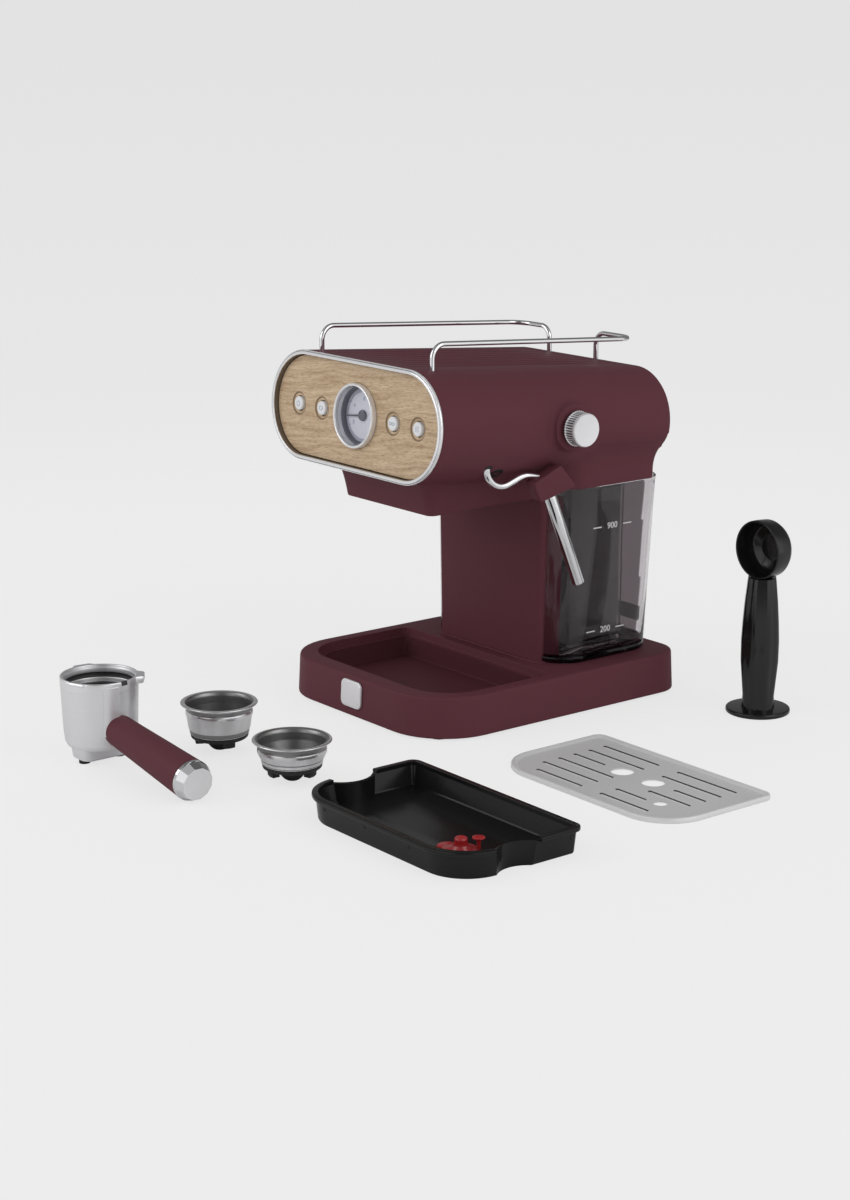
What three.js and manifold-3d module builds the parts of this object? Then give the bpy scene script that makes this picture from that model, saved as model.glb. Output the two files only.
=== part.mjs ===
// Espresso machine with its loose accessories laid out around it, in millimetres.
// +X is the machine's right, +Y its rear and +Z up. Pieces are placed from the centre
// of the machine's base, and the finished set is centred on the surface it stands on.

import * as THREE from 'three';
import Module from 'manifold-3d';
import { mergeVertices } from 'three/addons/utils/BufferGeometryUtils.js';

const wasm = await Module();
wasm.setup();

// ---------------------------------------------------------------- driving dimensions

// Fits
const gap = 0.3;
const wall = 2.4;
const through = 1;

// Base
const baseWidth = 214.4;
const baseDepth = 267;
const baseHeight = 31;
const baseDraft = 1.6;
const baseFrontRadius = 51.3;
const baseRearRadius = 26.7;
const footHeight = 3.6;
const footRadius = 9;
const footInset = 24;
const footStemRadius = 3;
const footStemLength = 4;
const bottomPlateThickness = 2;
const glandX = 60;
const glandZ = footHeight + 14;
const glandRadius = 7;
const badgeWidth = 26;
const badgeHeight = 22;
const badgeThickness = 1.2;
const badgeLift = 14.4;
const badgeRight = 1.3;
const badgeCorner = 5;

// Drip tray, its grille and the recess they share
const trayWidth = 186;
const trayDepth = 110;
const trayHeight = 20;
const trayFrontRadius = 36;
const trayRearRadius = 8;
const trayRimWidth = 4.6;
const trayRimThickness = 3.5;
const trayWall = 2;
const trayDraft = 1.9;
const pinRadius = 1.5;
const pinHeight = 12;
const notchLength = 38;
const notchDepth = 11;
const notchForward = 3;
const recessClearance = 0.5;
const recessRear = -4.8;
const recessFloor = 8.4;
const grilleHeight = 4;
const grilleDish = 2;
const grilleSheet = 1.2;
const grilleRim = 6;
const slotWidth = 2.4;
const slotPitch = 15.4;
const slotRows = 6;
const slotInner = 9.7;
const slotOuter = 70.6;
const slotShort = 41.5;
const slotEnd = 60;
const stackHoleRadius = 8.8;
const stackHoleSpacing = 33;
const floatHoleRadius = 5.4;
const floatRight = 53;
const floatForward = 20;
const floatHeadRadius = 4.6;

// Column, tower and water tank
const columnFront = 8.5;
const columnPlate = 3.4;
const columnTopWidth = 134;
const columnFootWidth = 127.2;
const columnReturn = 22;
const neckWidth = 104;
const neckDepth = 36;
const towerWidth = 112;
const towerDepth = 54;
const towerLatchTop = 31;
const collarWidth = 79.4;
const collarDepth = 74;
const collarRise = 8;
const tankTopWidth = 190;
const tankFootWidth = 169;
const tankRear = 122.7;
const tankRadius = 30;
const tankWall = 2;
const tankSideGap = 2.5;
const tankPort = 13;
const socketBodyRadius = 7;
const portRadius = 3.6;
const gripWidth = 120;
const gripHeight = 12;
const gripRise = 15;
const gripReach = 3.8;

// Head: a stadium section run along an axis whose nose is raised
const headTilt = 4.385;
const noseY = -129.75;
const noseZ = 243.6;
const headStraight = 132.6;
const headRadius = 43.74;
const headLength = 236.2;
const chinFront = -97;
const chinFrontWidth = 106;
const chinRadius = 16;
const chinFloorFront = 168.2;
const chinFloorRear = 171.7;
const chinDraft = 4;
const skirtWidth = 193;
const skirtFloor = 181.5;
const skirtRear = 103;
const skirtFrontRadius = 20;
const skirtRearRadius = 4;
const plateWidth = 117.8;
const plateStart = 12.3;
const plateEnd = 223.7;
const plateSheet = 1.6;
const ribHeight = 0.8;
const ribWidth = 3;
const ribPitch = 12;
const rearCoverThickness = 2.7;

// Cup rails
const railRadius = 2.1;
const railSpan = 142;
const railFront = -107;
const railRear = 100.3;
const railRearSpan = 60;
const railFrontZ = 301.2;
const railRearZ = 290.3;
const railBend = 14;
const railSides = 4;
const railSteps = 34;

// Front panel
const bezelLip = 2.2;
const bezelFace = 3.5;
const bezelSleeve = 0.8;
const panelDepth = 4.2;
const panelSheet = 2.5;
const stopThickness = 1.6;
const stopReach = 3.2;
const gaugeRadius = 25.5;
const gaugeRing = 2.5;
const gaugeDepth = 13.2;
const dialRadius = 20.5;
const dialSheet = 1.1;
const lensSheet = 1.2;
const needleLength = 17;
const needleHub = 3.4;
const needleSheet = 0.8;
const buttonRadius = 6;
const buttonLength = 11.5;
const buttonFlange = 6.9;
const buttonTravel = 1.8;
const buttonInner = 46.2;
const buttonOuter = 77.2;
const collarThickness = 1.2;
const carrierSheet = 1.8;
const boardSheet = 1.6;
const boardDepth = 16;

// Steam valve, its knob and the wand
const knobY = -1;
const knobZ = 236;
const bossRadius = 18.2;
const bossFace = 114;
const knobRadius = 14;
const knobFaceRadius = 13;
const knobLength = 14;
const knobNeck = 2;
const spindleRadius = 3;
const spindleGrip = 8;
const valveNeck = 6;
const valveRadius = 9.5;
const valveInner = 74;
const valveShoulder = 100;
const wandX = 96.3;
const wandY = -74.5;
const wandAngle = 7;
const wandTubeRadius = 2.5;
const socketRadius = 5;
const socketFoot = 210.5;
const socketTop = 220;
const gripInner = -4.2;
const gripOuter = 9;
const sleeveOffset = 2;
const sleeveRadius = 4.9;
const sleeveLength = 82.3;
const sleeveLean = 21.2;
const sleeveBore = 3.4;

// Group head, boiler and pump
const groupY = -55;
const groupRadius = 40;
const groupFloor = 169.9;
const groupBore = 36.2;
const groupMouth = 31;
const groupLedge = 3.5;
const groupCavity = 14;
const groupRoof = 6;
const lugWindow = 20;
const screenRadius = 24.2;
const screenSheet = 1.5;
const gasketRadius = 31;
const gasketHeight = 3.2;
const boilerRadius = 34;
const boilerHeight = 31;
const pumpRadius = 17;
const pumpHeight = 70;
const pumpY = 72;
const pumpShelf = 42;
const shelfSheet = 2.4;
const nippleRadius = 3.5;
const nippleLength = 8;
const hoseRadius = 3.5;

// Portafilter
const cupRadius = 29.4;
const cupFootRadius = 27.3;
const cupHeight = 66.5;
const cupFoot = 12;
const cupWall = 2.2;
const cupFloor = 16;
const bandHeight = 8;
const lugReach = 35.2;
const lugWidth = 16;
const lugHeight = 5;
const spoutWidth = 22;
const spoutLength = 42;
const spoutFoot = 3;
const tipSpacing = 30;
const tipRadius = 4.2;
const handleStart = 29.4;
const handleRise = 28.6;
const handleSlope = 7.4;
const handleLength = 95.6;
const handleRootRadius = 10.7;
const handleEndRadius = 14.6;
const handleCapLength = 10;
const tangRadius = 6;
const tangLength = 16;

// Filter baskets
const basketRim = 29.7;
const basketMouth = 25.4;
const basketFootRadius = 22.3;
const basketSheet = 0.8;
const largeBasketHeight = 38.6;
const smallBasketHeight = 32.2;
const basketBase = 9.2;
const basketSpoutRadius = 7.5;
const basketLegRadius = 3.2;
const basketLegCircle = 16;
const basketLegFoot = 4.5;

// Scoop and tamper
const tamperRadius = 25.8;
const tamperSheet = 4;
const scoopRadius = 22.8;
const scoopHeight = 133;
const scoopDepth = 20;
const scoopWall = 1.8;
const stemFootRadius = 12.9;
const stemBellyRadius = 14.5;
const stemNeckRadius = 10.5;

// Where the loose pieces lie, from the centre of the machine's base
const trayAt = [254.3, -249.2];
const grilleAt = [255.5, -67.6];
const portafilterAt = [-31, -344.3];
const largeBasketAt = [4.3, -261.1];
const smallBasketAt = [99.5, -260.1];
const scoopAt = [188.5, 135.2];

// Levels and lines that follow from the sizes above
const baseTop = footHeight + baseHeight;
const recessWidth = trayWidth + 2 * recessClearance;
const recessDepth = trayDepth + 2 * recessClearance;
const recessFront = recessRear - recessDepth;
const recessFloorZ = footHeight + recessFloor;
const ledgeZ = recessFloorZ + trayHeight - trayRimThickness - gap;
const columnBack = columnFront + columnPlate;
const towerFront = columnBack + gap;
const neckRear = towerFront + neckDepth;
const towerRear = neckRear + towerDepth;
const towerFoot = baseTop + gap;
const towerTop = skirtFloor - gap;
const tankTop = skirtFloor - gap;
const channelHalf = towerWidth / 2 + tankSideGap;
const channelRear = towerRear + 2;
const portZ = towerFoot + tankPort;
const shelfZ = towerFoot + pumpShelf;
const groupTop = groupFloor + groupLedge + groupCavity + groupRoof;
const headInnerRadius = headRadius - wall;
const sleeveOuterRadius = headInnerRadius - gap;
const panelSeatRadius = sleeveOuterRadius - bezelSleeve;
const panelRadius = panelSeatRadius - gap;
const stopRadius = panelSeatRadius - stopReach;
const stopFront = panelDepth + panelSheet + gap;
const caseOuterRadius = gaugeRadius - 1.6;
const caseInnerRadius = caseOuterRadius - 1.5;
const gaugeInnerRadius = gaugeRadius - gaugeRing;
const dialBack = gaugeDepth - 1.5;
const collarInnerRadius = buttonRadius + gap;
const collarOuterRadius = collarInnerRadius + collarThickness;
const buttonHoleRadius = collarOuterRadius + gap;

// ---------------------------------------------------------------- materials

function finish(color, roughness, metalness, options = {}) {
  return new THREE.MeshStandardMaterial({ color, roughness, metalness, ...options });
}

const material = {
  burgundy: finish(0x56333a, 0.55, 0),
  blackPlastic: finish(0x202020, 0.5, 0),
  blackGloss: finish(0x161616, 0.15, 0),
  rubber: finish(0x1a1a1a, 0.9, 0),
  chrome: finish(0xd8d8d8, 0.08, 1),
  steel: finish(0xb8b8b6, 0.3, 1),
  aluminium: finish(0xa6a7a8, 0.45, 1),
  brass: finish(0xb08d4a, 0.35, 1),
  wood: finish(0xb79c7c, 0.6, 0),
  silverPlaque: finish(0xbab9bb, 0.4, 0.6),
  whitePlastic: finish(0xd8d8dc, 0.4, 0),
  needle: finish(0x4a4b55, 0.4, 0.3),
  glass: finish(0xe8eef0, 0.05, 0, { transparent: true, opacity: 0.25 }),
  clearTank: finish(0xb8b4b6, 0.08, 0, { transparent: true, opacity: 0.35 }),
  silicone: finish(0xd9d9d2, 0.5, 0, { transparent: true, opacity: 0.6 }),
  board: finish(0x2d5a3a, 0.5, 0),
  redPlastic: finish(0xa0292b, 0.35, 0),
};

// ---------------------------------------------------------------- shapes and solids

function rounded(halfWidth, front, rear, frontRadius, rearRadius = frontRadius) {
  const shape = new THREE.Shape();
  shape.moveTo(-halfWidth + frontRadius, front);
  shape.absarc(halfWidth - frontRadius, front + frontRadius, frontRadius, -Math.PI / 2, 0);
  shape.absarc(halfWidth - rearRadius, rear - rearRadius, rearRadius, 0, Math.PI / 2);
  shape.absarc(-halfWidth + rearRadius, rear - rearRadius, rearRadius, Math.PI / 2, Math.PI);
  shape.absarc(-halfWidth + frontRadius, front + frontRadius, frontRadius, Math.PI, Math.PI * 1.5);
  shape.closePath();
  return shape;
}

function stadium(radius, straight = headStraight) {
  const shape = new THREE.Shape();
  shape.moveTo(-straight / 2, -radius);
  shape.absarc(straight / 2, 0, radius, -Math.PI / 2, Math.PI / 2);
  shape.absarc(-straight / 2, 0, radius, Math.PI / 2, Math.PI * 1.5);
  shape.closePath();
  return shape;
}

// A flat outline run upwards from one level to another
function prism(shape, low, high, curveSegments = 3) {
  const options = { depth: high - low, bevelEnabled: false, curveSegments };
  const geometry = new THREE.ExtrudeGeometry(shape, options);
  return geometry.translate(0, 0, low);
}

// The same outline, drawn in X and Z, run rearwards
function prismY(shape, front, rear, curveSegments = 8) {
  return prism(shape, -rear, -front, curveSegments).rotateX(Math.PI / 2);
}

function box(x0, x1, y0, y1, z0, z1) {
  const geometry = new THREE.BoxGeometry(x1 - x0, y1 - y0, z1 - z0);
  return geometry.translate((x0 + x1) / 2, (y0 + y1) / 2, (z0 + z1) / 2);
}

// A closed profile of [radius, height] points turned about +Z; it runs up the outside
function turned(profile, segments = 16) {
  const points = profile.map(([r, h]) => new THREE.Vector2(r, h));
  return new THREE.LatheGeometry(points, segments).rotateX(Math.PI / 2);
}

function rod(radius, low, high, segments = 14) {
  return turned([[0, low], [radius, low], [radius, high], [0, high]], segments);
}

function tube(inner, outer, low, high, segments = 16) {
  return turned([[inner, low], [outer, low], [outer, high], [inner, high], [inner, low]], segments);
}

const alongX = (geometry) => geometry.rotateY(Math.PI / 2);
const alongY = (geometry) => geometry.rotateX(-Math.PI / 2);

// Draws the walls in by dx and dy at the high level, straight at the low one
function tapered(geometry, low, high, dx, dy) {
  geometry.computeBoundingBox();
  const middle = geometry.boundingBox.getCenter(new THREE.Vector3());
  const points = geometry.attributes.position;
  for (let i = 0; i < points.count; i += 1) {
    const share = (points.getZ(i) - low) / (high - low);
    points.setX(i, points.getX(i) - Math.sign(points.getX(i) - middle.x) * dx * share);
    points.setY(i, points.getY(i) - Math.sign(points.getY(i) - middle.y) * dy * share);
  }
  return geometry;
}

// A round bar along a path
function bar(path, radius, sides, steps) {
  const section = new THREE.Shape().absarc(0, 0, radius, 0, Math.PI * 2);
  const options = { steps, extrudePath: path, curveSegments: sides, bevelEnabled: false };
  return new THREE.ExtrudeGeometry(section, options);
}

function solid(geometry) {
  const bare = geometry.clone();
  bare.deleteAttribute('normal');
  bare.deleteAttribute('uv');
  const merged = mergeVertices(bare, 1e-4);
  const vertProperties = new Float32Array(merged.attributes.position.array);
  const triVerts = new Uint32Array(merged.index.array);
  return new wasm.Manifold(new wasm.Mesh({ numProp: 3, vertProperties, triVerts }));
}

function surface(body) {
  const { vertProperties, triVerts } = body.getMesh();
  const geometry = new THREE.BufferGeometry();
  geometry.setAttribute('position', new THREE.BufferAttribute(new Float32Array(vertProperties), 3));
  geometry.setIndex(new THREE.BufferAttribute(new Uint32Array(triVerts), 1));
  geometry.computeVertexNormals();
  return geometry;
}

const join = (...geometries) => surface(geometries.map(solid).reduce((a, b) => a.add(b)));
const cut = (body, ...tools) => surface(tools.map(solid).reduce((a, b) => a.subtract(b), solid(body)));

function piece(name, geometry, look) {
  const mesh = new THREE.Mesh(geometry, look);
  mesh.name = name;
  return mesh;
}

function groupOf(pieces, x = 0, y = 0, z = 0) {
  const group = new THREE.Group();
  group.position.set(x, y, z);
  group.add(...pieces);
  return group;
}

const degrees = THREE.MathUtils.degToRad;
const mirrored = [-1, 1];

// ---------------------------------------------------------------- base

function baseOutline(inset) {
  const half = baseWidth / 2 - inset;
  const depth = baseDepth / 2 - inset;
  return rounded(half, -depth, depth, baseFrontRadius - inset, baseRearRadius - inset);
}

function recessOutline(inset) {
  const half = recessWidth / 2 - inset;
  const front = recessFront + inset;
  const rear = recessRear - inset;
  return rounded(half, front, rear, trayFrontRadius + recessClearance - inset, trayRearRadius);
}

function footPlaces() {
  const x = baseWidth / 2 - footInset;
  const y = baseDepth / 2 - footInset;
  return [['front_left', -x, -y], ['front_right', x, -y], ['rear_left', -x, y], ['rear_right', x, y]];
}

function baseShell() {
  const block = prism(baseOutline(0), footHeight, baseTop);
  const outside = tapered(block, footHeight, baseTop, baseDraft, baseDraft);
  const recess = prism(recessOutline(0), ledgeZ, baseTop + through);
  const well = prism(recessOutline(trayRimWidth), recessFloorZ, ledgeZ + through);
  const underside = prism(baseOutline(wall), footHeight - through, recessFloorZ - wall);
  const rearHalf = baseWidth / 2 - wall - baseDraft;
  const rearEnd = baseDepth / 2 - wall - baseDraft;
  const bay = rounded(rearHalf, recessRear + wall, rearEnd, 4, baseRearRadius - wall);
  const rearBay = prism(bay, recessFloorZ - wall - through, baseTop - wall);
  const glandHole = alongY(rod(glandRadius + gap, 100, baseDepth)).translate(glandX, 0, glandZ);
  return cut(outside, recess, well, underside, rearBay, glandHole);
}

function bottomPlate() {
  const sheet = prism(baseOutline(wall + gap), footHeight, footHeight + bottomPlateThickness);
  const holes = footPlaces().map(([, x, y]) => {
    const hole = rod(footStemRadius + gap, 0, baseHeight, 16);
    return hole.translate(x, y, 0);
  });
  return cut(sheet, ...holes);
}

function foot() {
  const padTop = footHeight - gap;
  const stemTop = footHeight + footStemLength;
  return turned([[0, 0], [footRadius - 1, 0], [footRadius, 1], [footRadius, padTop],
    [footStemRadius, padTop], [footStemRadius, stemTop], [0, stemTop]], 14);
}

function badgePlate() {
  const outline = rounded(badgeWidth / 2, -badgeHeight / 2, badgeHeight / 2, badgeCorner);
  const plate = prismY(outline, -badgeThickness - gap, -gap, 3);
  const lean = Math.atan(baseDraft / baseHeight);
  const badgeFront = -baseDepth / 2 + badgeLift * Math.tan(lean);
  return plate.rotateX(-lean).translate(badgeRight, badgeFront, footHeight + badgeLift);
}

function cordGland() {
  const rear = baseDepth / 2;
  const inner = rear - 14;
  const flange = glandRadius + 3;
  const flangeRear = rear - wall - baseDraft - gap;
  const profile = [
    [2.6, inner], [glandRadius - 2, inner], [flange, flangeRear - 2], [flange, flangeRear],
    [glandRadius, flangeRear], [glandRadius, rear + 2], [glandRadius - 2.4, rear + 12],
    [2.6, rear + 12], [2.6, inner],
  ];
  return alongY(turned(profile, 14)).translate(glandX, 0, glandZ);
}

function base() {
  const feet = footPlaces().map(([place, x, y]) => {
    return piece(`foot_${place}`, foot().translate(x, y, 0), material.rubber);
  });
  return groupOf([
    piece('base_shell', baseShell(), material.burgundy),
    piece('bottom_plate', bottomPlate(), material.blackPlastic),
    piece('badge_plate', badgePlate(), material.silverPlaque),
    piece('cord_gland', cordGland(), material.rubber),
    ...feet,
  ]);
}

// ---------------------------------------------------------------- column and tower

function columnCover() {
  const top = chinFloorRear - gap;
  const half = columnFootWidth / 2;
  const grow = (columnTopWidth - columnFootWidth) / 2;
  const inner = neckWidth / 2 + gap;
  const outer = inner + wall;
  const rear = columnBack + columnReturn;
  const corner = 1.6;
  const outline = new THREE.Shape();
  outline.moveTo(-half + corner, columnFront);
  outline.absarc(half - corner, columnFront + corner, corner, -Math.PI / 2, 0);
  outline.lineTo(half, columnBack);
  outline.lineTo(outer, columnBack);
  outline.lineTo(outer, rear);
  outline.lineTo(inner, rear);
  outline.lineTo(inner, columnBack);
  outline.lineTo(-inner, columnBack);
  outline.lineTo(-inner, rear);
  outline.lineTo(-outer, rear);
  outline.lineTo(-outer, columnBack);
  outline.lineTo(-half, columnBack);
  outline.absarc(-half + corner, columnFront + corner, corner, Math.PI, Math.PI * 1.5);
  outline.closePath();
  return tapered(prism(outline, towerFoot, top), towerFoot, top, -grow, 0);
}

function towerCore() {
  const half = towerWidth / 2;
  const neck = neckWidth / 2;
  const latchFoot = towerTop - towerLatchTop;
  const latchFront = columnBack + columnReturn + gap;
  const outside = join(
    box(-neck, neck, towerFront, neckRear + 1, towerFoot, towerTop),
    box(-half, half, neckRear, towerRear, towerFoot, towerTop),
    box(-half, half, latchFront, neckRear + 1, latchFoot, towerTop),
    box(-collarWidth / 2, collarWidth / 2, towerFront + 8, towerFront + 8 + collarDepth,
      towerTop - 1, towerTop + collarRise),
  );
  const lowerFloor = towerFoot + wall;
  const neckInner = neck - wall;
  const halfInner = half - wall;
  const bore = collarWidth / 2 - wall;
  const room = (low, high) => join(
    box(-neckInner, neckInner, towerFront + wall, neckRear + wall + 1, low, high),
    box(-halfInner, halfInner, neckRear + wall, towerRear - wall, low, high),
  );
  return cut(
    outside,
    room(lowerFloor, shelfZ),
    room(shelfZ + shelfSheet, towerTop - wall),
    box(-bore, bore, towerFront + 8 + wall, towerFront + 8 + collarDepth - wall,
      towerTop - wall - 1, towerTop + collarRise + 1),
    rod(nippleRadius + 1.5, shelfZ - 1, shelfZ + shelfSheet + 1).translate(0, pumpY, 0),
    alongY(rod(socketBodyRadius + gap, towerRear - wall - 1, towerRear + 1)).translate(0, 0, portZ),
  );
}

function tankSocket() {
  const bore = portRadius + gap;
  const inside = towerRear - wall - gap;
  const flange = socketBodyRadius + 3;
  return alongY(turned([[bore, inside - 7], [socketBodyRadius, inside - 7], [socketBodyRadius, inside - 3],
    [flange, inside - 3], [flange, inside], [socketBodyRadius, inside], [socketBodyRadius, towerRear + 1.6],
    [bore, towerRear + 1.6], [bore, inside - 7]], 16)).translate(0, 0, portZ);
}

function tower() {
  return groupOf([
    piece('column_cover', columnCover(), material.burgundy),
    piece('tower_core', towerCore(), material.blackPlastic),
    piece('tank_socket', tankSocket(), material.rubber),
  ]);
}

// ---------------------------------------------------------------- water tank

function tankShell() {
  const half = tankFootWidth / 2;
  const grow = (tankTopWidth - tankFootWidth) / 2;
  const outline = (inset) => rounded(half - inset, towerFront + inset, tankRear - inset, tankRadius - inset);
  const outside = tapered(prism(outline(0), towerFoot, tankTop), towerFoot, tankTop, -grow, 0);
  const ledge = box(-gripWidth / 2, gripWidth / 2, tankRear - 1, tankRear + gripReach,
    towerFoot + gripRise, towerFoot + gripRise + gripHeight);
  const waterLow = towerFoot + tankWall;
  const water = cut(
    tapered(prism(outline(tankWall), towerFoot, tankTop + 1), towerFoot, tankTop, -grow, 0),
    box(-channelHalf - tankWall, channelHalf + tankWall, 0, channelRear + tankWall, 0, tankTop + 2),
    box(-tankTopWidth, tankTopWidth, 0, tankRear + 1, 0, waterLow),
  );
  const channel = box(-channelHalf, channelHalf, 0, channelRear, 0, tankTop + 1);
  const portEnd = channelRear + tankWall + 1;
  const port = alongY(rod(portRadius + gap, channelRear - 1, portEnd)).translate(0, 0, portZ);
  return cut(join(outside, ledge), water, channel, port);
}

function tankValve() {
  const seat = channelRear + tankWall + gap;
  const tip = towerRear - 6;
  return alongY(turned([[0, tip], [portRadius, tip], [portRadius, seat], [8, seat], [8, seat + 2],
    [6, seat + 2], [6, seat + 11], [3, seat + 13], [0, seat + 13]], 14)).translate(0, 0, portZ);
}

function waterTank() {
  return groupOf([
    piece('tank_shell', tankShell(), material.clearTank),
    piece('tank_valve', tankValve(), material.whitePlastic),
  ]);
}

// ---------------------------------------------------------------- head

function nose(pieces) {
  const group = groupOf(pieces, 0, noseY, noseZ);
  group.rotation.x = -degrees(headTilt);
  return group;
}

function inNoseFrame(geometry) {
  return geometry.rotateX(-degrees(headTilt)).translate(0, noseY, noseZ);
}

const chinRear = columnBack + gap;

// The chin widens and its floor rises from the front to the column
function chinBlock(inset, top) {
  const half = chinFrontWidth / 2;
  const geometry = prism(rounded(half, chinFront, chinRear, chinRadius, 1), 0, 1);
  const points = geometry.attributes.position;
  const widen = (columnTopWidth - chinFrontWidth) / 2;
  const middle = (chinFront + chinRear) / 2;
  for (let i = 0; i < points.count; i += 1) {
    const run = (points.getY(i) - chinFront) / (chinRear - chinFront);
    const floor = chinFloorFront + (chinFloorRear - chinFloorFront) * run + inset;
    const lift = points.getZ(i);
    const reach = half + widen * run;
    const x = points.getX(i) / half;
    const drawn = reach + chinDraft * lift - inset;
    points.setX(i, x * drawn);
    const drawnIn = (points.getY(i) - middle) * (1 - inset / (chinRear - middle));
    points.setY(i, middle + drawnIn - chinDraft * lift * (1 - run));
    points.setZ(i, floor + (top - floor) * lift);
  }
  return geometry;
}

function skirtBlock(inset, low, high) {
  const half = skirtWidth / 2 - inset;
  const front = chinRear - 3 + inset;
  const outline = rounded(half, front, skirtRear - inset, skirtFrontRadius - inset, skirtRearRadius);
  return prism(outline, low, high);
}

function railHoles() {
  const holes = [];
  for (const side of mirrored) {
    holes.push(rod(railRadius + gap, 255, 300, 16).translate((side * railSpan) / 2, railFront, 0));
    holes.push(rod(railRadius + gap, 255, 300, 16).translate((side * railRearSpan) / 2, railRear, 0));
  }
  return holes;
}

function headShell() {
  const boss = alongX(rod(bossRadius, headStraight / 2, bossFace, 24)).translate(0, knobY, knobZ);
  const outside = join(
    inNoseFrame(prismY(stadium(headRadius), bezelLip + gap, headLength)),
    chinBlock(0, noseZ - headRadius / 2),
    skirtBlock(0, skirtFloor, noseZ - headRadius / 2),
    boss,
  );
  const collarFront = towerFront + 8 - gap;
  return cut(
    outside,
    inNoseFrame(prismY(stadium(headInnerRadius), 0, headLength + 1)),
    chinBlock(wall, noseZ - headRadius / 2),
    skirtBlock(wall, skirtFloor + wall, noseZ - headRadius / 2),
    rod(groupRadius + gap, 150, groupTop + 20, 30).translate(0, groupY, 0),
    box(-collarWidth / 2 - gap, collarWidth / 2 + gap, collarFront, collarFront + collarDepth + 2 * gap,
      skirtFloor - 15, skirtFloor + 20),
    alongX(rod(valveNeck + gap, headStraight / 2, bossFace + 1)).translate(0, knobY, knobZ),
    rod(socketRadius + gap, 190, socketTop + 4).translate(wandX, wandY, 0),
    inNoseFrame(box(-plateWidth / 2 - gap, plateWidth / 2 + gap, plateStart - gap, plateEnd + gap,
      headRadius - plateSheet - gap, headRadius + 5)),
    ...railHoles(),
  );
}

function rearCover() {
  const plate = prismY(stadium(headInnerRadius - gap), headLength - rearCoverThickness, headLength);
  return plate;
}

function warmingPlate() {
  const side = plateWidth / 2;
  const sheet = box(-side, side, plateStart, plateEnd, headRadius - plateSheet, headRadius);
  const ribs = [];
  for (let y = plateStart + ribPitch; y < plateEnd - ribPitch / 2; y += ribPitch) {
    ribs.push(box(-plateWidth / 2 + 4, plateWidth / 2 - 4, y - ribWidth / 2, y + ribWidth / 2,
      headRadius - plateSheet / 2, headRadius + ribHeight));
  }
  return join(sheet, ...ribs);
}

function railPath(side) {
  const x = (side * railSpan) / 2;
  const inner = (side * railRearSpan) / 2;
  const at = (px, py, pz) => new THREE.Vector3(px, py, pz);
  const slope = (railRearZ - railFrontZ) / (railRear - railFront);
  const level = (y) => railFrontZ + slope * (y - railFront);
  const rearBend = railBend * 1.25;
  const path = new THREE.CurvePath();
  const footFront = noseZ + headRadius - 6;
  const footRear = noseZ + headRadius - (railRear - noseY) * Math.tan(degrees(headTilt)) - 4;
  path.add(new THREE.LineCurve3(at(x, railFront, footFront), at(x, railFront, railFrontZ - railBend)));
  path.add(new THREE.QuadraticBezierCurve3(at(x, railFront, railFrontZ - railBend),
    at(x, railFront, railFrontZ), at(x, railFront + railBend, level(railFront + railBend))));
  path.add(new THREE.LineCurve3(at(x, railFront + railBend, level(railFront + railBend)),
    at(x, railRear - rearBend, level(railRear - rearBend))));
  path.add(new THREE.QuadraticBezierCurve3(at(x, railRear - rearBend, level(railRear - rearBend)),
    at(x, railRear, railRearZ), at(x - side * rearBend, railRear, railRearZ)));
  path.add(new THREE.LineCurve3(at(x - side * rearBend, railRear, railRearZ),
    at(inner + side * 6, railRear, railRearZ)));
  path.add(new THREE.QuadraticBezierCurve3(at(inner + side * 6, railRear, railRearZ),
    at(inner, railRear, railRearZ), at(inner, railRear, railRearZ - 6)));
  path.add(new THREE.LineCurve3(at(inner, railRear, railRearZ - 6), at(inner, railRear, footRear)));
  return path;
}

function head() {
  const rails = mirrored.map((side) => {
    const name = side < 0 ? 'rail_left' : 'rail_right';
    return piece(name, bar(railPath(side), railRadius, railSides, railSteps), material.chrome);
  });
  return groupOf([
    piece('head_shell', headShell(), material.burgundy),
    nose([
      piece('head_rear_cover', rearCover(), material.burgundy),
      piece('warming_plate', warmingPlate(), material.burgundy),
    ]),
    ...rails,
  ]);
}

// ---------------------------------------------------------------- front panel, in the nose frame

function frontBezel() {
  const lip = prismY(stadium(headRadius), 0, bezelLip);
  const sleeve = prismY(stadium(sleeveOuterRadius), bezelLip / 2, stopFront + stopThickness);
  const opening = prismY(stadium(panelSeatRadius), -through, stopFront);
  const centre = prismY(stadium(stopRadius), -through, stopFront + stopThickness + through);
  return cut(join(lip, sleeve), opening, centre);
}

function buttonPlaces() {
  return [-buttonOuter, -buttonInner, buttonInner, buttonOuter];
}

function woodPanel() {
  const sheet = prismY(stadium(panelRadius), panelDepth, panelDepth + panelSheet);
  const gaugeHole = alongY(rod(caseOuterRadius + gap, 0, 20, 24));
  const holes = buttonPlaces().map((x) => alongY(rod(buttonHoleRadius, 0, 20)).translate(x, 0, 0));
  return cut(sheet, gaugeHole, ...holes);
}

function buttonCarrier() {
  const front = panelDepth + panelSheet + gap;
  const rear = front + carrierSheet;
  const pegRear = boardDepth - gap;
  const sheet = prismY(stadium(stopRadius - gap), front, rear);
  const collars = buttonPlaces().map((x) => {
    const collar = alongY(rod(collarOuterRadius, panelDepth + 0.7, buttonLength - 1.6));
    return collar.translate(x, 0, 0);
  });
  const bores = buttonPlaces().map((x) => alongY(rod(collarInnerRadius, 0, 20)).translate(x, 0, 0));
  const pegs = [];
  for (const side of mirrored) {
    for (const up of mirrored) {
      pegs.push(alongY(rod(2, rear - 1, pegRear, 12)).translate(side * 61, 0, up * 20));
    }
  }
  return cut(join(sheet, ...collars, ...pegs), alongY(rod(caseOuterRadius + gap, 0, 20, 24)), ...bores);
}

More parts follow.
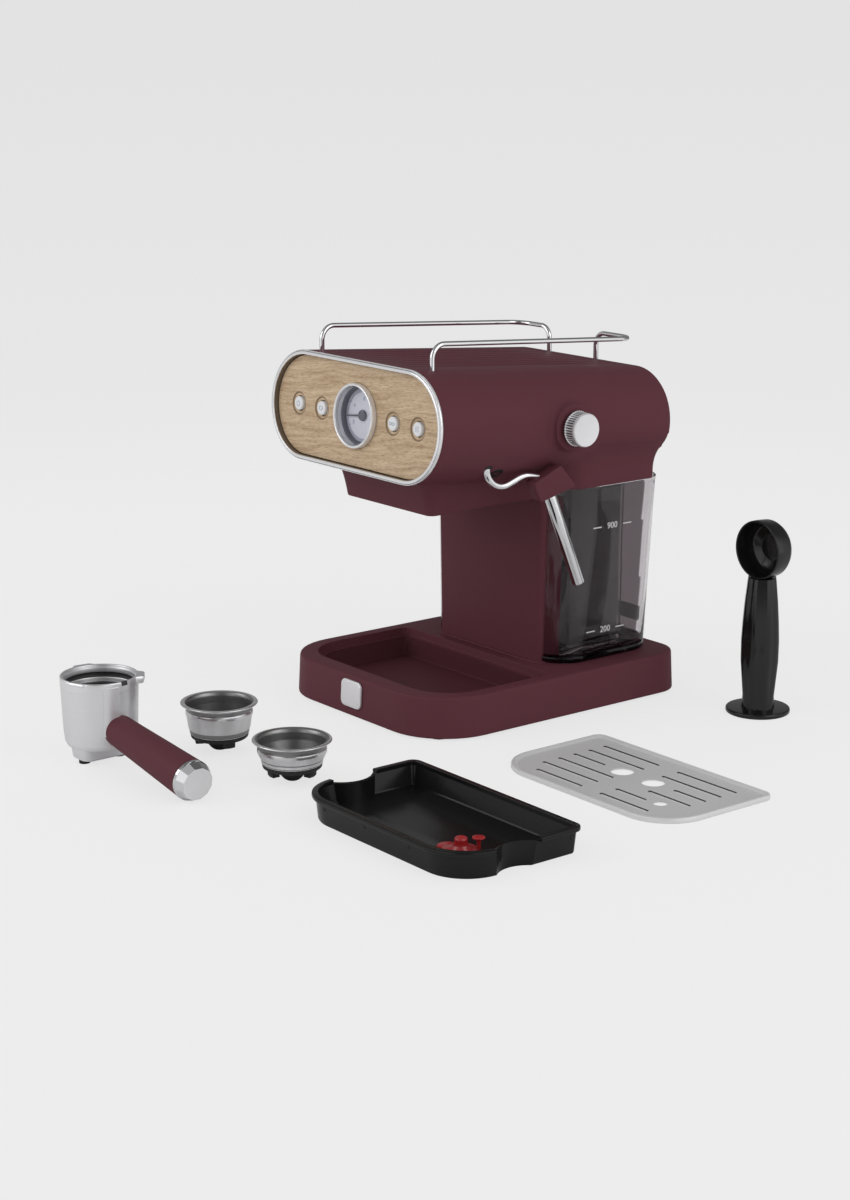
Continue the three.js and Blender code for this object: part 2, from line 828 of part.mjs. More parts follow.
function controlBoard() {
  const sheet = prismY(stadium(28, 120), boardDepth, boardDepth + boardSheet, 6);
  const reach = buttonLength + buttonTravel + gap;
  const plunger = () => alongY(rod(2.5, reach, boardDepth + 0.5, 12));
  const switches = buttonPlaces().map((x) => plunger().translate(x, 0, 0));
  return join(sheet, ...switches);
}

function button() {
  return alongY(turned([
    [0, 0], [buttonRadius - 0.6, 0], [buttonRadius, 0.6], [buttonRadius, buttonLength - 1.3],
    [buttonFlange, buttonLength - 1.3], [buttonFlange, buttonLength], [0, buttonLength],
  ], 16));
}

function gaugeBezel() {
  return alongY(turned([[gaugeInnerRadius, 0.4], [gaugeInnerRadius + 0.6, -0.2], [gaugeRadius - 0.8, -0.2],
    [gaugeRadius, 0.8], [gaugeRadius, panelDepth - gap], [gaugeInnerRadius, panelDepth - gap],
    [gaugeInnerRadius, 0.4]], 30));
}

function gaugeCase() {
  const floor = dialBack + gap;
  return alongY(turned([[0, floor], [caseInnerRadius - 1.4, floor], [caseInnerRadius - 1.4, dialBack - 2.4],
    [caseInnerRadius, dialBack - 2.4], [caseInnerRadius, panelDepth], [caseOuterRadius, panelDepth],
    [caseOuterRadius, gaugeDepth], [0, gaugeDepth]], 30));
}

function gaugeNeedle() {
  const rear = dialBack - dialSheet - gap;
  const hub = alongY(rod(needleHub, rear - 1.7, rear, 20));
  const top = rear - 0.7;
  const pointer = box(-needleLength, 0, top - needleSheet, top, -0.6, 0.6);
  const tail = box(0, needleHub + 4, top - needleSheet, top, -1.1, 1.1);
  return join(hub, pointer, tail);
}

function frontPanel() {
  const buttonNames = ['button_power', 'button_single_cup', 'button_double_cup', 'button_steam'];
  const buttons = buttonPlaces().map((x, i) => {
    return piece(buttonNames[i], button().translate(x, 0, 0), material.whitePlastic);
  });
  const dial = alongY(rod(dialRadius, dialBack - dialSheet, dialBack, 24));
  const lens = alongY(rod(gaugeInnerRadius - gap, 1.8, 1.8 + lensSheet, 24));
  return nose([
    piece('front_bezel', frontBezel(), material.chrome),
    piece('wood_panel', woodPanel(), material.wood),
    piece('button_carrier', buttonCarrier(), material.blackPlastic),
    piece('control_board', controlBoard(), material.board),
    piece('gauge_bezel', gaugeBezel(), material.chrome),
    piece('gauge_case', gaugeCase(), material.chrome),
    piece('gauge_dial', dial, material.whitePlastic),
    piece('gauge_needle', gaugeNeedle(), material.needle),
    piece('gauge_lens', lens, material.glass),
    ...buttons,
  ]);
}

// ---------------------------------------------------------------- steam valve, knob and wand

function steamKnob() {
  const back = bossFace + 2 * gap;
  const front = back + knobLength;
  const bore = spindleRadius + gap;
  const boreEnd = back + spindleGrip;
  return alongX(turned([[0, boreEnd], [bore, boreEnd], [bore, back], [knobFaceRadius, back],
    [knobFaceRadius, back + knobNeck], [knobRadius, back + knobNeck], [knobRadius, front - 4.5],
    [knobFaceRadius + 0.6, front - 1.2], [knobFaceRadius, front], [0, front]], 24));
}

function steamSpindle() {
  return alongX(rod(spindleRadius, valveInner + 11, bossFace + spindleGrip));
}

function steamValve() {
  const bore = spindleRadius + gap;
  return alongX(turned([[0, valveInner], [valveRadius, valveInner], [valveRadius, valveShoulder],
    [valveNeck, valveShoulder], [valveNeck, bossFace - gap], [bore, bossFace - gap],
    [bore, valveInner + 10], [0, valveInner + 10]], 16));
}

function steamControl() {
  return groupOf([
    piece('steam_knob', steamKnob(), material.chrome),
    piece('steam_spindle', steamSpindle(), material.steel),
    piece('steam_valve', steamValve(), material.brass),
  ], 0, knobY, knobZ);
}

// The wand lies in the Y-Z plane of its own turned group, with its pivot on that group's Z axis
function wandTube() {
  const at = (y, z) => new THREE.Vector3(0, y, z);
  const bend = [
    at(0, 210), at(0.6, 207.8), at(2, 205), at(4.7, 201), at(9.3, 197), at(15.3, 194.7),
    at(23, 196.1), at(30.5, 199.2), at(36.7, 200.4), at(43, 199.9), at(48, 198.6),
  ];
  const path = new THREE.CurvePath();
  path.add(new THREE.LineCurve3(at(0, socketTop + 2), at(0, 210)));
  path.add(new THREE.CatmullRomCurve3(bend, false, 'centripetal'));
  return bar(path, wandTubeRadius, 4, 20);
}

function sleeveAxis(geometry) {
  return geometry.rotateX(degrees(sleeveLean)).translate(sleeveOffset, 56.1, 187);
}

function wandGrip() {
  const outline = new THREE.Shape();
  outline.moveTo(42.2, 203);
  outline.lineTo(45.1, 182.3);
  outline.lineTo(77.6, 192.9);
  outline.lineTo(66.4, 206.4);
  outline.closePath();
  const depth = gripOuter - gripInner - 2.4;
  const options = {
    depth, bevelEnabled: true, bevelSize: 1.2, bevelThickness: 1.2, bevelOffset: -1.2, bevelSegments: 1,
  };
  const block = new THREE.ExtrudeGeometry(outline, options);
  block.rotateX(Math.PI / 2).rotateZ(Math.PI / 2).translate(gripInner + 1.2, 0, 0);
  const tubeBore = alongY(rod(wandTubeRadius + 2 * gap, -4, 6)).rotateX(-degrees(15)).translate(0, 43, 199.9);
  const sleeveBoreHole = sleeveAxis(rod(sleeveRadius + gap, -30, gap));
  return cut(block, tubeBore, sleeveBoreHole);
}

function frothSleeve() {
  const profile = [
    [sleeveBore, 0], [sleeveRadius, 0], [sleeveRadius, -sleeveLength], [sleeveBore, -sleeveLength],
    [sleeveBore, -sleeveLength + 14], [1, -sleeveLength + 14], [1, -1], [sleeveBore, 0],
  ];
  return sleeveAxis(turned(profile.reverse(), 20));
}

function wand() {
  const moving = groupOf([
    piece('steam_tube', wandTube(), material.chrome),
    piece('wand_grip', wandGrip(), material.burgundy),
    piece('froth_sleeve', frothSleeve(), material.steel),
  ], wandX, wandY, 0);
  moving.rotation.z = -degrees(wandAngle);
  const socket = tube(wandTubeRadius + gap, socketRadius, socketFoot, socketTop, 20);
  return groupOf([moving, piece('wand_socket', socket.translate(wandX, wandY, 0), material.rubber)]);
}

// ---------------------------------------------------------------- group head, boiler and pump

function groupHead() {
  const ledgeTop = groupFloor + groupLedge;
  const roof = ledgeTop + groupCavity;
  const ring = turned([[groupMouth, groupFloor], [groupRadius, groupFloor], [groupRadius, groupTop],
    [4.2, groupTop], [4.2, roof], [groupBore, roof], [groupBore, ledgeTop], [groupMouth, ledgeTop],
    [groupMouth, groupFloor]], 30);
  const windows = box(-lugWindow / 2, lugWindow / 2, -groupBore, groupBore, groupFloor - 1, ledgeTop + 0.5);
  return cut(ring, windows);
}

function brewGroup() {
  const roof = groupFloor + groupLedge + groupCavity;
  const screenTop = roof - gap;
  const screenFoot = screenTop - screenSheet;
  const screw = turned([
    [0, screenFoot - 2.3], [5, screenFoot - 2.3], [6, screenFoot - gap],
    [3.8, screenFoot - gap], [3.8, groupTop - 1], [0, groupTop - 1],
  ], 20);
  const boilerFoot = groupTop + gap;
  const boilerTop = boilerFoot + boilerHeight;
  const boiler = turned([
    [0, boilerFoot], [boilerRadius, boilerFoot], [boilerRadius, boilerTop - 6],
    [boilerRadius - 6, boilerTop], [0, boilerTop],
  ], 32);
  return groupOf([
    piece('group_head', groupHead(), material.aluminium),
    piece('shower_screen', tube(3.8 + gap, screenRadius, screenFoot, screenTop, 24), material.steel),
    piece('screen_screw', screw, material.steel),
    piece('group_gasket', tube(screenRadius + gap, gasketRadius, roof - gap - gasketHeight, roof - gap, 24),
      material.rubber),
    piece('boiler', boiler, material.aluminium),
  ], 0, groupY, 0);
}

function pumpUnit() {
  const foot = shelfZ + shelfSheet + gap;
  const top = foot + pumpHeight;
  const body = turned([
    [0, foot - nippleLength], [nippleRadius, foot - nippleLength], [nippleRadius, foot],
    [pumpRadius - 4, foot], [pumpRadius - 4, foot + 12], [pumpRadius, foot + 12],
    [pumpRadius, top - 10], [pumpRadius - 6, top - 10], [pumpRadius - 6, top],
    [nippleRadius, top], [nippleRadius, top + nippleLength], [0, top + nippleLength],
  ], 16);
  const at = (x, y, z) => new THREE.Vector3(x, y, z);
  const inlet = foot - nippleLength - gap;
  const socketEnd = towerRear - wall - 2 * gap - 7;
  const elbow = at(0, pumpY, portZ);
  const suction = new THREE.QuadraticBezierCurve3(at(0, socketEnd, portZ), elbow, at(0, pumpY, inlet));
  const outlet = top + nippleLength + gap;
  const boilerBack = groupY + boilerRadius + gap;
  const delivery = groupTop + boilerHeight / 2;
  const pressure = new THREE.CatmullRomCurve3([at(0, pumpY, outlet), at(0, pumpY, outlet + 10),
    at(0, pumpY - 12, delivery - 8), at(0, pumpY - 40, delivery), at(0, boilerBack + 10, delivery),
    at(0, boilerBack, delivery)], false, 'centripetal');
  return groupOf([
    piece('pump', body.translate(0, pumpY, 0), material.blackPlastic),
    piece('suction_hose', bar(suction, hoseRadius, 4, 8), material.silicone),
    piece('pressure_hose', bar(pressure, hoseRadius, 4, 16), material.silicone),
  ]);
}

// ---------------------------------------------------------------- drip tray, float and grille

function trayOutline(inset) {
  const half = trayWidth / 2 - inset;
  const depth = trayDepth / 2 - inset;
  return rounded(half, -depth, depth, trayFrontRadius - inset, Math.max(trayRearRadius - inset, 2));
}

function traySolid(inset, low, high) {
  const foot = trayRimWidth + trayDraft + inset;
  return tapered(prism(trayOutline(foot), low, high), low, high, -trayDraft, -trayDraft);
}

function notchCylinder(side, growth, low, high) {
  const radius = ((notchLength / 2) ** 2 + notchDepth ** 2) / (2 * notchDepth);
  const x = side * (trayWidth / 2 - notchDepth + radius);
  return rod(radius + growth, low, high, 30).translate(x, -notchForward, 0);
}

function dripTray() {
  const rim = prism(trayOutline(0), trayHeight - trayRimThickness, trayHeight);
  const body = traySolid(0, 0, trayHeight);
  const walls = mirrored.map((side) => notchCylinder(side, trayWall, 0, trayHeight + 2));
  const cavity = cut(traySolid(trayWall, trayWall, trayHeight + 1), ...walls);
  const scoops = mirrored.map((side) => notchCylinder(side, 0, -1, trayHeight + 1));
  const shell = cut(join(rim, body), cavity, ...scoops);
  const pin = rod(pinRadius, trayWall - 0.5, trayWall + pinHeight, 12);
  return join(shell, pin.translate(floatRight, -floatForward, 0));
}

function trayFloat() {
  const foot = trayWall + gap;
  const bodyTop = foot + 5;
  const headTop = trayHeight - gap - 1.5;
  const raft = prism(rounded(13, -7, 7, 6.8), foot, bodyTop, 3).translate(floatRight - 9, -floatForward, 0);
  const dome = turned([
    [0, foot], [floatHeadRadius + 2.4, foot], [floatHeadRadius + 2.4, bodyTop + 2],
    [floatHeadRadius, bodyTop + 5], [floatHeadRadius, headTop - 2], [floatHeadRadius - 2, headTop],
    [0, headTop],
  ], 24);
  const arm = box(0, 9, -1.5, 1.5, foot, foot + 2).rotateZ(degrees(50));
  const stalk = turned([[0, foot], [1.3, foot], [1.3, headTop - 2], [4.4, headTop - 2], [4.4, headTop - 0.6],
    [0, headTop - 0.6]], 20).translate(7, 9.5, 0);
  const arms = arm.translate(2.2, 3, 0);
  const whole = join(raft, dome.translate(floatRight, -floatForward, 0),
    stalk.translate(floatRight, -floatForward, 0), arms.translate(floatRight, -floatForward, 0));
  const bore = rod(pinRadius + gap, 0, trayWall + pinHeight + gap, 12);
  return cut(whole, bore.translate(floatRight, -floatForward, 0));
}

function slotRow(row) {
  const y = (slotRows / 2 - 0.5 - row) * slotPitch;
  const spans = [[-slotOuter, -slotInner], [slotInner, slotOuter]];
  if (row === 2) {
    spans[0][1] = -slotShort + 6;
    spans[1][0] = slotShort - 3.4;
  }
  if (row === 3) spans[1][0] = stackHoleSpacing - 5.4;
  if (row === 4) spans[1][1] = slotShort;
  if (row === slotRows - 1) {
    spans[0][0] = -slotEnd;
    spans[1][1] = slotEnd;
  }
  return spans.map(([x0, x1]) => box(x0, x1, y - slotWidth / 2, y + slotWidth / 2, -1, grilleHeight + 1));
}

function dripGrille() {
  const outside = prism(trayOutline(0), 0, grilleHeight);
  const dish = prism(trayOutline(grilleRim), grilleDish, grilleHeight + 1);
  const under = prism(trayOutline(1.6), -1, grilleDish - grilleSheet);
  const slots = [];
  for (let row = 0; row < slotRows; row += 1) slots.push(...slotRow(row));
  const stack = mirrored.map((side) => {
    const hole = rod(stackHoleRadius, -1, grilleHeight + 1, 24);
    return hole.translate((side * stackHoleSpacing) / 2, slotPitch / 2, 0);
  });
  const floatHole = rod(floatHoleRadius, -1, grilleHeight + 1).translate(floatRight, -floatForward, 0);
  return cut(outside, dish, under, ...slots, ...stack, floatHole);
}

function drips() {
  return groupOf([
    groupOf([
      piece('drip_tray', dripTray(), material.blackGloss),
      piece('tray_float', trayFloat(), material.redPlastic),
    ], ...trayAt),
    groupOf([piece('drip_grille', dripGrille(), material.steel)], ...grilleAt),
  ]);
}

// ---------------------------------------------------------------- portafilter

function portafilterCup() {
  const bandFoot = cupHeight - bandHeight;
  const inner = cupRadius - cupWall;
  const bowl = turned([
    [0, cupFoot], [cupFootRadius - 5, cupFoot], [cupFootRadius, cupFoot + 5],
    [cupRadius - 0.5, bandFoot], [cupRadius, bandFoot + 1], [cupRadius, cupHeight],
    [inner, cupHeight], [inner, bandFoot], [inner - 1.4, bandFoot - 1],
    [inner - 1.4, cupFloor + 3], [inner - 5, cupFloor], [0, cupFloor],
  ], 24);
  const spoutOutline = rounded(spoutWidth / 2, -spoutLength / 2, spoutLength / 2, 6);
  const block = tapered(prism(spoutOutline, spoutFoot, cupFoot + 2), spoutFoot, cupFoot + 2, -1, -1);
  const lugTop = cupHeight - 3;
  const lugs = box(-lugWidth / 2, lugWidth / 2, -lugReach, lugReach, lugTop - lugHeight, lugTop);
  const keep = cut(lugs, rod(cupRadius - 1, 0, cupHeight + 1, 24));
  const slope = degrees(handleSlope);
  const tang = alongX(rod(tangRadius, -5, tangLength)).rotateY(slope).translate(handleStart, 0, handleRise);
  const trimmed = cut(tang, rod(cupRadius - cupWall, 0, cupHeight + 1, 24));
  const outlets = mirrored.map((side) => {
    return rod(2.2, spoutFoot - 1, cupFloor + 2, 16).translate(0, (side * tipSpacing) / 2, 0);
  });
  return cut(join(bowl, block, keep, trimmed), ...outlets);
}

function spoutTip(side) {
  const top = spoutFoot - gap;
  return tube(2.2, tipRadius, 0, top, 20).translate(0, (side * tipSpacing) / 2, 0);
}

function portafilterHandle() {
  const root = 1.6;
  const bore = tangRadius + gap;
  const boreEnd = tangLength + gap;
  return alongX(turned([[bore, root], [handleRootRadius - 2, root], [handleRootRadius, root + 2.5],
    [handleEndRadius, handleLength], [0, handleLength], [0, boreEnd], [bore, boreEnd], [bore, root]], 32));
}

function handleCap() {
  const start = handleLength + gap;
  const end = start + handleCapLength;
  return alongX(turned([[0, start], [handleEndRadius, start], [handleEndRadius, end - 3],
    [handleEndRadius - 3, end], [0, end]], 32));
}

function portafilter() {
  const sloped = groupOf([
    piece('portafilter_handle', portafilterHandle(), material.burgundy),
    piece('handle_cap', handleCap(), material.chrome),
  ], handleStart, 0, handleRise);
  sloped.rotation.y = degrees(handleSlope);
  return groupOf([
    piece('portafilter_cup', portafilterCup(), material.steel),
    piece('spout_tip_front', spoutTip(-1), material.rubber),
    piece('spout_tip_rear', spoutTip(1), material.rubber),
    sloped,
  ], ...portafilterAt);
}

// ---------------------------------------------------------------- filter baskets

function basketCup(height) {
  const foot = basketBase + gap;
  const t = basketSheet;
  return turned([[0, foot], [basketFootRadius - 2, foot], [basketFootRadius, foot + 2],
    [basketMouth + t, height - 8], [basketMouth + t + 0.9, height - 6.8], [basketMouth + t, height - 5.6],
    [basketMouth + t, height - t - 1], [basketRim, height - t], [basketRim, height], [basketMouth, height],
    [basketMouth, height - 8], [basketFootRadius - t, foot + 2.4], [basketFootRadius - 2.4, foot + t],
    [0, foot + t]], 24);
}

function basketFoot() {
  const disc = turned([[0, 6], [basketFootRadius - 4, 6], [basketFootRadius - 1, basketBase],
    [0, basketBase]], 32);
  const spout = turned([
    [0, 0], [basketSpoutRadius - 2, 0], [basketSpoutRadius, 2], [basketSpoutRadius + 3, 6.5], [0, 6.5],
  ], 24);
  const legs = [];
  for (let i = 0; i < 3; i += 1) {
    const turn = degrees(90 + 120 * i);
    const leg = rod(basketLegRadius, basketLegFoot, 6.5, 12);
    legs.push(leg.translate(basketLegCircle * Math.cos(turn), basketLegCircle * Math.sin(turn), 0));
  }
  const outlet = rod(1.2, -1, basketBase + 1, 12);
  return cut(join(disc, spout, ...legs), outlet);
}

function filterBasket(size, height, place) {
  return groupOf([
    piece(`${size}_basket`, basketCup(height), material.steel),
    piece(`${size}_basket_base`, basketFoot(), material.blackPlastic),
  ], ...place);
}

// ---------------------------------------------------------------- scoop and tamper

function coffeeScoop() {
  const disc = rod(tamperRadius, 0, tamperSheet, 24);
  const neckTop = scoopHeight - scoopRadius + 3;
  const stem = turned([
    [0, tamperSheet / 2], [stemFootRadius, tamperSheet / 2],
    [(stemFootRadius + stemBellyRadius) / 2, scoopHeight * 0.2],
    [stemBellyRadius, scoopHeight * 0.42],
    [(stemBellyRadius + stemNeckRadius) / 2 + 0.8, scoopHeight * 0.66],
    [stemNeckRadius, neckTop], [0, neckTop],
  ], 24);
  stem.scale(1, 0.78, 1);
  const r = scoopRadius;
  const bowl = alongY(turned([
    [r - scoopWall, 0], [r, 0], [r, scoopDepth * 0.55], [r * 0.86, scoopDepth * 0.86],
    [r * 0.5, scoopDepth], [0, scoopDepth], [0, scoopDepth - scoopWall],
    [r * 0.5 - 1, scoopDepth - scoopWall], [r * 0.86 - scoopWall, scoopDepth * 0.8],
    [r - scoopWall, scoopDepth * 0.5], [r - scoopWall, 0],
  ], 24));
  bowl.translate(0, -scoopDepth / 3, scoopHeight);
  const hollow = alongY(rod(r - scoopWall, -1, scoopDepth * 0.5, 24));
  hollow.translate(0, -scoopDepth / 3, scoopHeight);
  return join(cut(join(disc, stem), hollow), bowl);
}

// ---------------------------------------------------------------- the whole set

const set = groupOf([
  base(),
  tower(),
  waterTank(),
  head(),
  frontPanel(),
  steamControl(),
  wand(),
  brewGroup(),
  pumpUnit(),
  drips(),
  portafilter(),
  filterBasket('large', largeBasketHeight, largeBasketAt),
  filterBasket('small', smallBasketHeight, smallBasketAt),
  groupOf([piece('coffee_scoop', coffeeScoop(), material.blackGloss)], ...scoopAt),
]);

set.updateMatrixWorld(true);
const extent = new THREE.Box3().setFromObject(set);
const centre = extent.getCenter(new THREE.Vector3());
set.position.set(-centre.x, -centre.y, 0);

export default set;
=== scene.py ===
"""The shown pieces, materials and stage of an espresso machine with its loose accessories.

The mesh code works in millimetres. The machine's frame has its origin at the centre of the
base on the worktop, +X to the machine's right and +Y to its rear. The nose frame is tilted
with the head: X across it, Y from its front to its rear and Z up from its middle line.
"""

import math

import bmesh
import bpy
from bmesh.types import BMEdge, BMFace, BMVert
from mathutils import Matrix, Vector


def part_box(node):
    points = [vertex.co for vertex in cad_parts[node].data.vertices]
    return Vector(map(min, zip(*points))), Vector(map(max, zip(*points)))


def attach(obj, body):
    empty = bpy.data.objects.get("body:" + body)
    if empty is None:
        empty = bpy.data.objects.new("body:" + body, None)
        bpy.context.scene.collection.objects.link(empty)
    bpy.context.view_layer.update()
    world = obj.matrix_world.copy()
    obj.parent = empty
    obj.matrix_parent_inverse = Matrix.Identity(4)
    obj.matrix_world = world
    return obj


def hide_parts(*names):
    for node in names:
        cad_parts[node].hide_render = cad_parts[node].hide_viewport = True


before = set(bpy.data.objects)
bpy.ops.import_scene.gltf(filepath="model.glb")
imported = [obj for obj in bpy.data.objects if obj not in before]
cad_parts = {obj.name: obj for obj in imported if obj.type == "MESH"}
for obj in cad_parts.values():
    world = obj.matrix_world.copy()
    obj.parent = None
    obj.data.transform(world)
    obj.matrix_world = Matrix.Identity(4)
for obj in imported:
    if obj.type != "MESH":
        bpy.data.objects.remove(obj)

bl_info = {
    "name": "Espresso Machine",
    "version": (1, 0, 0),
    "blender": (4, 2, 0),
    "location": "View3D > Sidebar > Espresso",
    "description": "Builds the shown pieces of an espresso machine around its CAD frame",
    "category": "Add Mesh",
}

MM = 0.001
SIDES = (-1, 1)

# Places of the frames, from the centre of the base
NOSE_AT = (0.0, -129.75, 243.6)
WAND_AT = (96.3, -74.5, 0.0)
KNOB_AT = (0.0, -1.0, 236.0)
TRAY_AT = (254.3, -249.2, 0.0)
GRILLE_AT = (255.5, -67.6, 0.0)
PORTAFILTER_AT = (-31.0, -344.3, 0.0)
LARGE_BASKET_AT = (4.3, -261.1, 0.0)
SMALL_BASKET_AT = (99.5, -260.1, 0.0)
SCOOP_AT = (188.5, 135.2, 0.0)

# The head's tilt and section, the warming plate in its top and the panel in its front
TILT = math.radians(4.385)
NOSE_STRAIGHT = 66.3
NOSE_RADIUS = 43.74
PLATE_FRONT = 12.3
PLATE_REAR = 223.7
PLATE_FLOOR = 43.6
PANEL_DEPTH = 4.2
PANEL_BACK = 6.6
BUTTONS_AT = (-77.2, -46.2, 46.2, 77.2)

# The rubber seal behind the wand, in the nose frame, and the way it faces
SEAL_AT = (93.6, 70.0, -33.8)
SEAL_WAY = (0.629, 0.0, -0.777)

# From a profile spun round Z to one round the nose frame's Y, with heights as depths
FACING = Matrix.Rotation(math.pi / 2, 4, "X")
TOWARD = FACING @ Matrix.Scale(-1, 4, (0, 0, 1))

# The tank's foot, its half width there, and how high and how far its sides lean out
TANK_FOOT = 34.9
TANK_HALF = 84.5
TANK_RISE = 146.3
TANK_SPREAD = 10.5

# The tray and grille in plan, the tray's finger notches and the middle of its float
TRAY_HALF = 93
TRAY_REACH = 55
TRAY_FRONT_CORNER = 36
TRAY_REAR_CORNER = 8
NOTCH_HALF = 19
NOTCH_DEPTH = 11
FLOAT_AT = (53, -20)


# ------------------------------------------------------------------------------ frames


def base_centre():
    """The middle of the base on the worktop, in metres in the row frame."""
    low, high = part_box("base_shell")
    return Vector(((low.x + high.x) / 2, (low.y + high.y) / 2, 0.0))


def machine_frame(at=(0.0, 0.0, 0.0), turn=Matrix()):
    """From millimetres around a point of the machine to metres in the row frame."""
    return (
        Matrix.Translation(base_centre())
        @ Matrix.Scale(MM, 4)
        @ Matrix.Translation(at)
        @ turn
    )


def nose_frame():
    """From the head's tilted frame to the row frame."""
    return machine_frame(NOSE_AT, Matrix.Rotation(-TILT, 4, "X"))


# ------------------------------------------------------------------------------ mesh tools


def soften(points, radius, steps=4):
    """The same run of points with its inner corners rounded off."""
    points = [Vector(point) for point in points]
    run = [points[0]]
    for before, here, after in zip(points, points[1:], points[2:]):
        reach = min(radius, (before - here).length * 0.48, (after - here).length * 0.48)
        start = here + (before - here).normalized() * reach
        end = here + (after - here).normalized() * reach
        for i in range(steps + 1):
            t = i / steps
            run.append(start * (1 - t) ** 2 + here * 2 * t * (1 - t) + end * t * t)
    run.append(points[-1])
    return run


def arc(centre, radius, start, end, steps):
    """Points of an arc in a plane, with its angles in degrees."""
    angles = [math.radians(start + (end - start) * i / steps) for i in range(steps + 1)]
    return [
        (centre[0] + radius * math.cos(a), centre[1] + radius * math.sin(a))
        for a in angles
    ]


def rounded(half, front, rear, front_radius, rear_radius, steps=10):
    """A rectangle with round corners in the X-Y plane, from its front right corner."""
    return (
        arc((half - front_radius, front + front_radius), front_radius, -90, 0, steps)
        + arc((half - rear_radius, rear - rear_radius), rear_radius, 0, 90, steps)
        + arc((rear_radius - half, rear - rear_radius), rear_radius, 90, 180, steps)
        + arc((front_radius - half, front + front_radius), front_radius, 180, 270, steps)
    )


def stadium(radius, steps=20):
    """The outline of the head at a radius, in the X-Z plane of the nose frame."""
    right = arc((NOSE_STRAIGHT, 0), radius, -90, 90, steps)
    left = arc((-NOSE_STRAIGHT, 0), radius, 90, 270, steps)
    return right + left


def loop(bm, points):
    """A closed run of edges through points."""
    verts = [bm.verts.new(point) for point in points]
    return [bm.edges.new(pair) for pair in zip(verts, [*verts[1:], verts[0]])]


def level(outline, z):
    """An outline in the X-Y plane at a height."""
    return [(x, y, z) for x, y in outline]


def upright(outline, y):
    """An outline in the X-Z plane at a depth."""
    return [(x, y, z) for x, z in outline]


def mirrored(run):
    """A run of points on the other side of the middle, from its end to its start."""
    return [(-x, y) for x, y in reversed(run)]


def only(kind, made):
    """The corners, edges or faces among what a mesh operator made."""
    return [item for item in made["geom"] if isinstance(item, kind)]


def corners_of(edges):
    """The corners along a run of edges; those of a closed one end with its first."""
    shared = [vert for vert in edges[0].verts if vert in edges[-1].verts]
    ahead = edges[1].verts if len(edges) > 1 else ()
    run = shared[:1] if len(edges) > 2 else []
    if not run:
        run = [vert for vert in edges[0].verts if vert not in ahead][:1]
    for edge in edges:
        run.append(edge.other_vert(run[-1]))
    return run


def bridge(bm, loops):
    """Faces from each loop to the next; a loose loop is taken over by their edges."""
    faces = []
    for near, far in zip(loops, loops[1:]):
        if len(near) != len(far):
            raise ValueError("loops to join have different numbers of edges")
        starts, targets = corners_of(near), corners_of(far)
        made = bmesh.ops.extrude_edge_only(bm, edges=near)
        fresh = set(only(BMVert, made))
        run = []
        for start, target in zip(starts, targets):
            ends = [edge.other_vert(start) for edge in start.link_edges]
            run.append(next(end for end in ends if end in fresh))
            run[-1].co = target.co
        if not any(edge.link_faces for edge in far):
            bmesh.ops.delete(bm, geom=list(set(targets)), context="VERTS")
            far[:] = [bm.edges.get(pair) for pair in zip(run, run[1:])]
        faces += only(BMFace, made)
    return faces


def cap(bm, edges):
    """One face inside a loop."""
    return bmesh.ops.contextual_create(bm, geom=edges)["faces"]


def skin(bm, loops):
    """Faces from each loop to the next, and over both ends."""
    bridge(bm, loops)
    cap(bm, loops[0])
    cap(bm, loops[-1])


def fill(bm, edges):
    """Flat faces inside an outer loop and around the loops in it."""
    bmesh.ops.triangle_fill(bm, use_beauty=True, edges=edges)


def extrude(bm, edges, move):
    """Walls from loose edges, and the edges at their end."""
    made = bmesh.ops.extrude_edge_only(bm, edges=edges)
    bmesh.ops.translate(bm, verts=only(BMVert, made), vec=move)
    return only(BMEdge, made)


def slab(bm, points, move):
    """A flat outline made solid between its own place and a second one."""
    made = bmesh.ops.extrude_face_region(bm, geom=cap(bm, loop(bm, points)))
    bmesh.ops.translate(bm, verts=only(BMVert, made), vec=move)


def sheet(bm, across, along, place):
    """A grid whose shares from 0 to 1 are put in place by a function."""
    made = bmesh.ops.create_grid(bm, x_segments=across, y_segments=along, size=0.5)
    for vert in made["verts"]:
        vert.co = place(vert.co.x + 0.5, vert.co.y + 0.5)


def turned(bm, profile, matrix=Matrix(), steps=64):
    """A profile of radius and height spun round Z, then moved."""
    before = set(bm.verts)
    verts = [bm.verts.new((radius, 0, height)) for radius, height in profile]
    edges = [bm.edges.new(pair) for pair in zip(verts, verts[1:])]
    bmesh.ops.spin(
        bm,
        geom=verts + edges,
        cent=(0, 0, 0),
        axis=(0, 0, 1),
        angle=2 * math.pi,
        steps=steps,
        use_merge=True,
        use_duplicate=False,
    )
    fresh = [vert for vert in bm.verts if vert not in before]
    bmesh.ops.transform(bm, matrix=matrix, verts=fresh)


def stack(bm, outline_at, profile):
    """A solid from an outline at each inset and height of a profile."""
    skin(bm, [loop(bm, level(outline_at(inset), z)) for inset, z in profile])


def prism(bm, outline, profile, matrix=Matrix()):
    """A solid from an outline at each scale and height of a profile, then moved."""
    loops = []
    for share, z in profile:
        ring = [matrix @ Vector((x * share, y * share, z)) for x, y in outline]
        loops.append(loop(bm, ring))
    skin(bm, loops)


